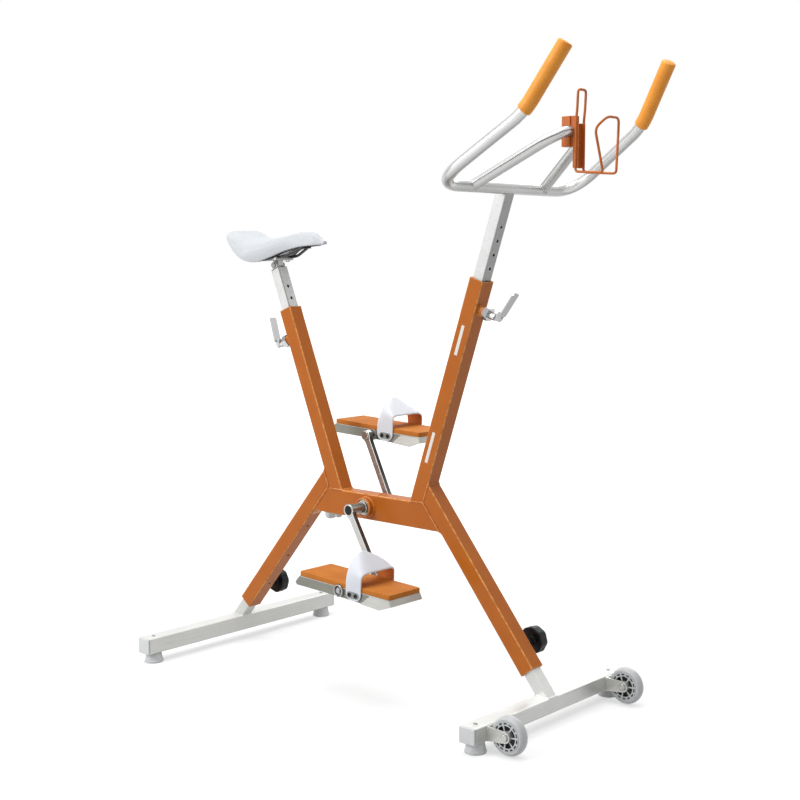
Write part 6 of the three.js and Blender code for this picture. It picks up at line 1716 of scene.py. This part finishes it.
@dataclass
class LegKnob:
    """A fluted clamping knob on the left side of a leg."""

    node: str
    line: Line
    shown: float
    up_leg: float = 62.0
    radius: float = 30.0
    thickness: float = 23.0
    start: float = 46.3
    edge: Pair = (3.4, 3.0)
    dish: Pair = (17.0, 1.0)
    dish_edge: float = 1.5
    flutes: int = 8
    depth: float = 1.5
    sides: int = 128
    neck: Pairs = ((0, 20.3), (11, 20.3), (11, 43), (12.5, 45.5), (13.5, 47), (0, 47))
    stud: Pairs = ((0, 15.3), (4.4, 15.3), (5, 16), (5, 22), (0, 22))

    def build(self) -> None:
        """Builds the knob: fluted rings of a rounded profile, a neck, a cap and the stud."""
        turn = np.linspace(0, np.pi / 2, 6)
        inward, up = self.edge
        low = np.stack([self.radius - inward * (1 - np.sin(turn)), up * (1 - np.cos(turn))], 1)
        high = low[::-1] * [1, -1] + [0, self.thickness]
        wide, deep = self.dish
        floor = self.thickness - deep
        profile = np.vstack([
            [0, 0], low, high, [wide, self.thickness], [wide - self.dish_edge, floor], [0, floor],
        ])
        angles = np.arange(self.sides) * 2 * np.pi / self.sides
        flute = 1 - self.depth / self.radius * (1 - np.cos(self.flutes * angles)) / 2
        share = np.clip(profile[:, 0] / self.radius, 0, 1) ** 4
        radii = profile[:, :1] * (1 + (flute[None] - 1) * share[:, None])
        middle = self.line.point(self.shown + self.up_leg)
        spin = circle(1.0, self.sides)
        radial = spin[:, :1] * self.line.ahead + spin[:, 1:] * self.line.along
        rise = (self.start + profile[:, 1])[:, None, None] * ACROSS
        head = grid(middle + (rise + radii[..., None] * radial[None]) * MM)
        neck = turned(np.array(self.neck) * MM, middle, ACROSS)
        shape = head + neck + turned(np.array(self.stud) * MM, middle, ACROSS, 32)
        stand_in(self.node, shape, Look.BLACK_PLASTIC, sharp=40, bevel=0.3)


@dataclass
class Drive:
    """The spindle, the two crank arms and their caps."""

    length: float = 172.5
    face: float = 81.0
    angle: float = -60.0
    root_shift: float = 14.0
    cup_face: float = 39.0
    cap_sink: float = 4.0
    cap: Triple = (11.4, 4.3, 1.2)
    eye_start: float = 68.6
    eye: Triple = (10.6, 4.2, 0.8)
    spindle_radius: float = 9.0
    spindle_end: float = 76.7
    eye_rim: Pairs = (
        (11.5, 70), (14.6, 70), (14.6, 80.4), (13.6, 81.6), (12.2, 81.6), (11.5, 80.6),
    )
    boss: Pairs = ((9.1, 38.5), (11.6, 38.5), (11.6, 69), (9.1, 69))

    def along(self, side: int) -> Array:
        """Direction of a crank arm from the spindle to its pedal."""
        turn = math.radians(self.angle)
        return np.array([math.cos(turn), 0, math.sin(turn)]) * -side

    def pedal_centre(self, side: int) -> Array:
        """Where a pedal's axle crosses the middle plane, in metres."""
        return CRANK_CENTRE + self.along(side) * self.length * MM

    def build(self) -> None:
        """Builds the drive's pieces."""
        caps, rims = [], []
        for side in (LEFT, RIGHT):
            arm = from_node(f"crank_{SIDE_NAMES[side]}", Look.CRANK_METAL, 0.5)
            inward = self.root_shift if side == LEFT else 0.0
            if inward:
                self._lean(arm, side)
            out = ACROSS * side
            start = CRANK_CENTRE + out * (self.face - self.cap_sink - inward) * MM
            caps.append(disc(start, out, *self.cap))
            eye = self.pedal_centre(side) + out * self.eye_start * MM
            rims.append(disc(eye, -out, *self.eye))
            for rows in (np.array(self.eye_rim), np.array(self.boss)):
                rows[:, 1] = np.where(rows[:, 1] > self.cup_face, rows[:, 1] - inward, rows[:, 1])
                rims.append(turned(rows * MM, CRANK_CENTRE, out, 48, looped=True))
        made("crank_caps", joined(caps), Look.BLACK_PLASTIC, "crankset")
        made("crank_bosses", joined(rims), Look.BOSS_METAL, "crankset", bevel=0.4)
        profile = rod(self.spindle_radius, -self.spindle_end, self.spindle_end - self.root_shift)
        spindle = turned(profile * MM, CRANK_CENTRE, ACROSS, 48)
        stand_in("crank_spindle", spindle, Look.SATIN_STEEL)

    def _lean(self, arm: Piece, side: int) -> None:
        """Leans an arm: its root stands nearer the frame and its eye stays where it was."""
        flat = np.empty(len(arm.data.vertices) * 3)
        arm.data.vertices.foreach_get("co", flat)
        places = flat.reshape(-1, 3)
        share = (places - CRANK_CENTRE) @ self.along(side) / (self.length * MM)
        places[:, 1] -= side * self.root_shift * MM * np.clip(1 - share, 0, 1)
        arm.data.vertices.foreach_set("co", flat)


@dataclass
class Pedal:
    """A strapped foot pedal: folded steel tray, textured foot board, strap, lugs and boss.

    Rows of points are x along the foot and z up from the axle, in millimetres.
    """

    side: int
    centre: Array
    inner: float = 98.0
    width: float = 100.0
    back: float = 125.5
    front: float = 146.5
    tilt: float = 2.4
    pad_top: float = 18.8
    pad_thickness: float = 10.8
    board_edges: Pair = (0.8, 1.8)
    board_corner: float = 4.5
    sheet: float = 2.0
    floor_thickness: float = 1.4
    toe_flare: float = 0.16
    heel_row: Pairs = ((-126, 7.6), (-139, -8), (-134, -14.5))
    low_row: Pairs = ((-38, -14), (20, -14.5))
    fold: Pairs = ((66, -15.8), (91, 7.6))
    toe_row: Pairs = ((121, -18), (151, -6), (146, 7.6))
    toe_inset: float = 1.2
    flange_inset: float = 0.8
    floor_grown: Pair = (1.6, 2.4)
    floor_corner: float = 4.0
    outer_boss: Pairs = (
        (9.4, -2), (14, -2), (14, 5.2), (13, 6.4), (11.4, 6.4), (10.4, 5.2), (9.4, 1.5),
    )
    inner_boss: Pairs = ((5.5, -2), (13, -2), (13, 6), (12, 7), (5.5, 7))
    well_sink: float = 1.0
    well: Triple = (9.8, 2.2, 0.3)
    nut_out: float = 1.4
    nut: Pair = (11.5, 4.0)
    tube_radius: float = 7.2
    bore_radius: float = 5.5
    strap_back: float = 23.0
    strap_front: float = 66.0
    strap_back_top: float = 85.0
    strap_front_top: float = 50.0
    strap_thickness: float = 3.0
    strap_gap: float = 1.0
    strap_over_board: float = 0.3
    strap_cells: tuple[int, int] = (17, 161)
    strap_rim: Row = (0.35, 1.5, 2.65)
    rim_bulge: float = 0.008
    narrowest: float = 0.1
    foot_drop: float = 13.5
    foot_corner: float = 17.0
    roundness: Pair = (1.95, 1.7)
    heel_skew: float = -6.0
    squareness: Pair = (5.4, 9.0)
    squaring: float = 1.3
    leg_share: float = 0.14
    lining_heart: Triple = (45, 0, 10)
    lining_lean: float = 0.45
    lug: Four = (35.0, 14.5, 7.2, 1.4)
    lug_middle: Pair = (44.0, -1.0)
    lug_screws: Pair = (35.0, 53.0)
    lug_screw: Pair = (4.6, 1.7)
    lift: Pair = (0.0, 0.0)

    def __post_init__(self) -> None:
        """Works out the pedal's own directions."""
        turn = math.radians(self.tilt)
        self.along = np.array([math.cos(turn), 0, -math.sin(turn)])
        self.up = np.array([math.sin(turn), 0, math.cos(turn)])
        self.shift = (FORWARD * self.lift[0] + UP * self.lift[1]) * MM
        out = ACROSS * self.side * (self.inner + self.width / 2) * MM
        self.middle = self.centre + out + self.shift
        self.name = SIDE_NAMES[self.side]
        self.body = f"{self.name}_pedal"
        self.shoulder = self.pad_top + self.strap_over_board

    def point(self, x: Array, y: Array, z: Array) -> Array:
        """Points of the pedal's own frame, in millimetres, as points in metres."""
        parts = [np.asarray(v, float)[..., None] for v in (x, y, z)]
        move = parts[0] * self.along + parts[1] * self.side * ACROSS + parts[2] * self.up
        return self.middle + move * MM

    def on_axle(self, out: float) -> Array:
        """A point on the axle, in metres, this far out from the middle of the board."""
        return self.point(0, out, 0) - self.shift

    def build(self) -> None:
        """Builds the pedal's pieces."""
        self._tray()
        self._toe()
        self._boss()
        self._board()
        self._strap()
        self._lugs()

    def _side(self, row: Array, flare: float, face: int) -> Surface:
        """A side sheet over a row of points, which leans out by a share of the way down."""
        reach = self.width / 2 + flare * (row[0, 1] - row[:, 1])
        outer = self.point(row[:, 0], face * reach, row[:, 1])
        inner = self.point(row[:, 0], face * (reach - self.sheet), row[:, 1])
        return grid(np.stack([outer, inner]))

    def _flange(self, row: Array, inward: int) -> Surface:
        """An end sheet: a folded row of points carried from side to side."""
        outline = np.vstack([row, (row + [inward * self.sheet, 0])[::-1]])
        reach = self.width / 2 - self.flange_inset
        x, z = outline.T
        return grid(np.stack([self.point(x, reach, z), self.point(x, -reach, z)]))

    def _ring(self, profile: Pairs, face: int) -> Surface:
        """A turned ring on the axle; its profile is radius and distance out from a side."""
        start = self.on_axle(face * self.width / 2)
        return turned(np.asarray(profile) * MM, start, ACROSS * self.side * face, 56, looped=True)

    def _tray(self) -> None:
        """The tray's heel part in painted shade, with the axle's tube and the inner boss."""
        heel = np.array([*self.heel_row, *self.low_row, *self.fold])
        shapes = [self._side(heel, 0.0, face) for face in (1, -1)]
        shapes.append(self._flange(np.array(self.heel_row), 1))
        tube = rod(self.tube_radius, -self.width / 2, self.width / 2, self.bore_radius)
        shapes.append(turned(tube * MM, self.on_axle(0), ACROSS, 40, looped=True))
        shapes.append(self._ring(self.inner_boss, -1))
        node = f"pedal_tray_{self.name}"
        stand_in(node, joined(shapes), Look.TRAY_STEEL, sharp=30, bevel=0.5)

    def _toe(self) -> None:
        """The toe in painted light: flared sides with a cut corner, the end flange and the floor.
        """
        fold_low, fold_high = np.array(self.fold)
        row = np.vstack([fold_high, np.array(self.toe_row)[::-1], fold_low])
        shapes = [self._side(row, self.toe_flare, face) for face in (1, -1)]
        shapes.append(self._flange(np.array(self.toe_row)[:0:-1] + [self.toe_inset, 0], -1))
        longer, wider = self.floor_grown
        size = self.front + self.back + longer, self.width + wider
        floor = rounded_outline(*size, self.floor_corner) * MM
        low = self.pad_top - self.pad_thickness - self.floor_thickness
        start = self.point((self.front - self.back) / 2, 0, low)
        thick = self.up * self.floor_thickness * MM
        shapes.append(extruded(floor, start, self.along, ACROSS, thick))
        toe = joined(shapes)
        made(f"pedal_toe_{self.name}", toe, Look.TOE_STEEL, self.body, sharp=30, bevel=0.5)

    def _boss(self) -> None:
        """The outer boss round the axle's end: a raised rim, a dark well and a nut."""
        boss = self._ring(self.outer_boss, 1)
        made(f"pedal_boss_{self.name}", boss, Look.SATIN_STEEL, self.body, bevel=0.3)
        outward, face = ACROSS * self.side, self.width / 2
        well = disc(self.on_axle(face - self.well_sink), outward, *self.well)
        made(f"pedal_well_{self.name}", well, Look.LUG_STEEL, self.body)
        nut = hex_bolt(self.on_axle(face + self.nut_out), outward, *self.nut)
        made(f"pedal_nut_{self.name}", nut, Look.SATIN_STEEL, "crankset", bevel=0.3)

    def _board(self) -> None:
        """The foot board: a rounded slab whose top rim is rolled over and whose skin is grainy."""
        base = self.pad_top - self.pad_thickness
        turn = np.linspace(0, np.pi / 2, 7)
        low, high = self.board_edges
        insets = np.concatenate([[low, 0], high * (1 - np.cos(turn))])
        heights = np.concatenate([[0, low], self.pad_thickness - high * (1 - np.sin(turn))])
        middle = (self.front - self.back) / 2
        length = self.front + self.back
        rings = []
        for inset, height in zip(insets, heights):
            corner = self.board_corner - inset
            outline = rounded_outline(length - 2 * inset, self.width - 2 * inset, corner, 8)
            rings.append(self.point(outline[:, 0] + middle, outline[:, 1], base + height))
        shape = grid(np.stack(rings))
        piece = made(
            f"pedal_board_{self.name}", shape, Look.PEDAL_RUBBER, self.body,
            [f"pedal_pad_{self.name}"], sharp=40,
        )

    def leg_rise(self, turn: Array) -> Array:
        """Height above the strap's foot along its straight legs: 1 less a quarter cosine."""
        leg = np.clip(np.minimum(turn, 1 - turn) / self.leg_share, 0, 1)
        return (self.shoulder + self.foot_drop) * (1 - np.cos(leg * np.pi / 2))

    def strap_at(self, share: Array, turn: Array, inset: Array) -> Array:
        """Points of the strap.

        Its two legs are straight up past the board, and between them it is a superellipse whose
        height goes from the heel rim's to the toe rim's. Its power goes from the heel's roundness
        to the toe's squareness, which differs between the outer and the inner shoulder.

        Args:
            share: From the heel rim, 0, to the toe rim, 1.
            turn: From the outer lug, 0, over the foot to the inner lug, 1.
            inset: Distance inside the outer face, in millimetres.

        Returns:
            The points in metres.
        """
        back = self.strap_back + self.heel_skew * turn
        x = back + (self.strap_front - back) * share
        top = self.strap_back_top + (self.strap_front_top - self.strap_back_top) * share - inset
        half = self.width / 2 + self.strap_gap + self.strap_thickness - inset
        angle = np.pi * np.clip((turn - self.leg_share) / (1 - 2 * self.leg_share), 0, 1)
        round_power = np.where(turn < 0.5, *self.roundness)
        square = np.where(turn < 0.5, *self.squareness)
        toward_toe = np.clip(share, 0, 1) ** self.squaring
        power = 2 / (round_power + (square - round_power) * toward_toe)
        rise = np.abs(np.sin(angle)) ** power
        cosine = np.cos(angle)
        y = half * np.sign(cosine) * np.abs(cosine) ** power
        on_leg = np.minimum(turn, 1 - turn) < self.leg_share
        low = self.leg_rise(turn) - self.foot_drop
        z = np.where(on_leg, low, self.shoulder + (top - self.shoulder) * rise)
        return self.point(x, y, z)

    def _strap(self) -> None:
        """The strap as one closed band, pale outside and orange inside, with rounded feet.

        A foot's half width is the strap's, less its corner, plus the corner circle's reach at
        that height above the foot.
        """
        across, over = self.strap_cells
        share = np.linspace(0, 1, across)
        turn = np.linspace(0, 1, over)
        edge = np.array(self.strap_rim)
        pale = np.stack([share, np.zeros(across)])
        toe = np.stack([np.full(3, 1 + self.rim_bulge), edge])
        lining = np.stack([share[::-1], np.full(across, self.strap_thickness)])
        heel = np.stack([np.full(3, -self.rim_bulge), edge[::-1]])
        ring = np.concatenate([pale, toe, lining, heel], axis=1)
        half, corner = (self.strap_front - self.strap_back) / 2, self.foot_corner
        short = np.maximum(corner - self.leg_rise(turn), 0)
        wide = (half - corner + np.sqrt(corner**2 - short**2)) / half
        shares = 0.5 + (ring[0][None] - 0.5) * np.maximum(wide, self.narrowest)[:, None]
        points = self.strap_at(shares, turn[:, None] + 0 * shares, ring[1][None] + 0 * shares)
        strap = f"pedal_strap_{self.name}"
        self._line_strap(stand_in(strap, grid(points), Look.STRAP_OUTSIDE, sharp=50))

    def _line_strap(self, piece: Piece) -> None:
        """Gives the faces that look at the middle of the strap's arch the orange lining."""
        piece.data.materials.append(painted(Look.STRAP_INSIDE))
        count = len(piece.data.polygons)
        middles, normals = np.zeros(count * 3), np.zeros(count * 3)
        piece.data.polygons.foreach_get("center", middles)
        piece.data.polygons.foreach_get("normal", normals)
        middles, normals = middles.reshape(-1, 3), normals.reshape(-1, 3)
        inward = self.point(*self.lining_heart) - middles
        inward[:, 0] = 0
        facing = np.einsum("ij,ij->i", unit(inward), normals) > self.lining_lean
        piece.data.polygons.foreach_set("material_index", facing.astype(np.int32))
        piece.data.update()

    def _lugs(self) -> None:
        """On each side, a grey lug plate on the strap's foot with two dark screws."""
        length, height, corner, thick = self.lug
        outline = rounded_outline(length, height, corner, 8) * MM
        middle, up = self.lug_middle
        reach = self.width / 2 + self.strap_gap + self.strap_thickness
        plates, screws = [], []
        for face in (1, -1):
            outward = ACROSS * self.side * face
            base = self.point(middle, face * reach, up)
            plates.append(extruded(outline, base, self.along, self.up, outward * thick * MM))
            for x in self.lug_screws:
                place = self.point(x, face * (reach + thick), up)
                screws.append(socket_screw(place, outward, *self.lug_screw))
        made(f"strap_lugs_{self.name}", joined(plates), Look.LUG_STEEL, self.body, bevel=0.4)
        made(f"strap_screws_{self.name}", joined(screws), Look.BLACK_PLASTIC, self.body, bevel=0.2)


@dataclass
class Studio:
    """Floor, lights, background and camera."""

    azimuth: float = 41.917
    elevation: float = 6.120
    focal: float = 61.15
    sensor: float = 36.0
    far: float = 60.0
    eye: Triple = (2122.79, -2269.06, 978.36)
    floor_size: float = 30.0
    floor_tone: float = 188.0
    near_glow: float = 0.53
    glow_reach: Pair = (0.8, 3.0)
    fill: float = 0.42
    fill_color: Four = (0.98, 0.99, 1, 1)
    floor_roughness: float = 0.9
    lamps: tuple[tuple[str, Triple, float, float], ...] = (
        ("key", (-1.4, -3.2, 2.4), 2.0, 84.0),
        ("top", (0.0, 0.0, 3.6), 2.4, 66.0),
        ("back", (-1.0, 3.4, 2.2), 2.0, 34.0),
    )
    aim: Triple = (0.0, 0.0, 0.65)

    def build(self) -> None:
        """Sets the studio up."""
        self._camera()
        self._world()
        self._floor()
        for name, place, size, power in self.lamps:
            self._lamp(name, np.array(place), size, power)

    def _camera(self) -> None:
        """The camera at the photograph's place and angle."""
        data = bpy.data.cameras.new("camera")
        data.lens = self.focal
        data.sensor_width = self.sensor
        data.clip_end = self.far
        camera = bpy.data.objects.new("camera", data)
        camera.location = at(*self.eye)
        camera.rotation_euler = (math.radians(90 - self.elevation), 0, math.radians(self.azimuth))
        bpy.context.scene.collection.objects.link(camera)
        bpy.context.scene.camera = camera
        bpy.context.scene.view_settings.view_transform = "Standard"

    def _seen(self, nodes: Any, links: Any) -> Any:
        """1 for rays from the camera, a mirror or glass, and 0 for light on the object."""
        path = nodes.new("ShaderNodeLightPath")
        total = path.outputs["Is Camera Ray"]
        for name in ("Is Glossy Ray", "Is Transmission Ray"):
            add = nodes.new("ShaderNodeMath")
            add.operation = "MAXIMUM"
            links.new(total, add.inputs[0])
            links.new(path.outputs[name], add.inputs[1])
            total = add.outputs[0]
        return total

    def _world(self) -> None:
        """A white background for what sees it, and a soft even fill for light."""
        world = bpy.data.worlds.new("studio")
        world.use_nodes = True
        nodes, links = world.node_tree.nodes, world.node_tree.links
        nodes.clear()
        white, soft = nodes.new("ShaderNodeBackground"), nodes.new("ShaderNodeBackground")
        white.inputs[0].default_value = (1, 1, 1, 1)
        soft.inputs[0].default_value = self.fill_color
        soft.inputs[1].default_value = self.fill
        mix, out = nodes.new("ShaderNodeMixShader"), nodes.new("ShaderNodeOutputWorld")
        links.new(self._seen(nodes, links), mix.inputs[0])
        links.new(soft.outputs[0], mix.inputs[1])
        links.new(white.outputs[0], mix.inputs[2])
        links.new(mix.outputs[0], out.inputs[0])
        bpy.context.scene.world = world

    def _floor(self) -> None:
        """A pale floor that runs white into the background and keeps the object's shadow."""
        corners = np.array([[-1, -1, 0], [1, -1, 0], [1, 1, 0], [-1, 1, 0]]) * self.floor_size / 2
        floor = mesh_object("floor", Surface(corners, [(0, 1, 2, 3)]), welded=False)
        tree = Tree("floor")
        tree.feed(tree.shader.inputs["Base Color"], srgb(*[self.floor_tone] * 3))
        tree.shader.inputs["Roughness"].default_value = self.floor_roughness
        glow = tree.add("Emission", {"Color": (1, 1, 1, 1), "Strength": self._glow(tree)})
        add = tree.add("AddShader", {0: tree.shader.outputs[0], 1: glow.outputs[0]})
        tree.links.new(add.outputs[0], tree.nodes["Material Output"].inputs[0])
        floor.data.materials.append(tree.material)

    def _glow(self, tree: Tree) -> Any:
        """How much the floor brightens itself for what sees it: more where no lamp reaches."""
        away = tree.add("VectorMath", {0: tree.place}, operation="LENGTH").outputs["Value"]
        level = tree.ranged(away, *self.glow_reach, self.near_glow, 1.0)
        return tree.times(self._seen(tree.nodes, tree.links), level)

    def _lamp(self, name: str, place: Array, size: float, power: float) -> None:
        """A square soft light that looks at the object."""
        data = bpy.data.lights.new(name, "AREA")
        data.shape = "SQUARE"
        data.size = size
        data.energy = power
        lamp = bpy.data.objects.new(name, data)
        lamp.location = place
        back = unit(place - np.array(self.aim))
        lamp.rotation_euler = (math.acos(back[2]), 0, math.atan2(back[0], -back[1]))
        bpy.context.scene.collection.objects.link(lamp)


REAR_FOOT = CrossFoot(
    "rear", x=-458.9, length=630, height=38, bottom=24, line=REAR_LEG_LINE,
    shown=REAR_STEM_SHOWN, pad_inset=31,
)
FRONT_FOOT = CrossFoot(
    "front", x=498, length=530, height=34, bottom=22.5, line=FRONT_LEG_LINE,
    shown=FRONT_STEM_SHOWN, pad_inset=29,
)


def main() -> None:
    """Builds the whole bike and its studio."""
    logging.basicConfig(level=logging.INFO, format="%(name)s: %(message)s")
    drive = Drive()
    assemblies = [
        Studio(), TubeFrame(), SeatAssembly(), Handlebar(), Locks(), REAR_FOOT, FRONT_FOOT,
        TransportWheel(LEFT), TransportWheel(RIGHT),
        LegKnob("rear_knob", REAR_LEG_LINE, REAR_STEM_SHOWN),
        LegKnob("front_knob", FRONT_LEG_LINE, FRONT_STEM_SHOWN),
        drive, Pedal(LEFT, drive.pedal_centre(LEFT), lift=(-4.0, 3.4)),
        Pedal(RIGHT, drive.pedal_centre(RIGHT)),
    ]
    for assembly in assemblies:
        LOG.info("building %s", type(assembly).__name__)
        assembly.build()


if __name__ == "__main__":
    main()
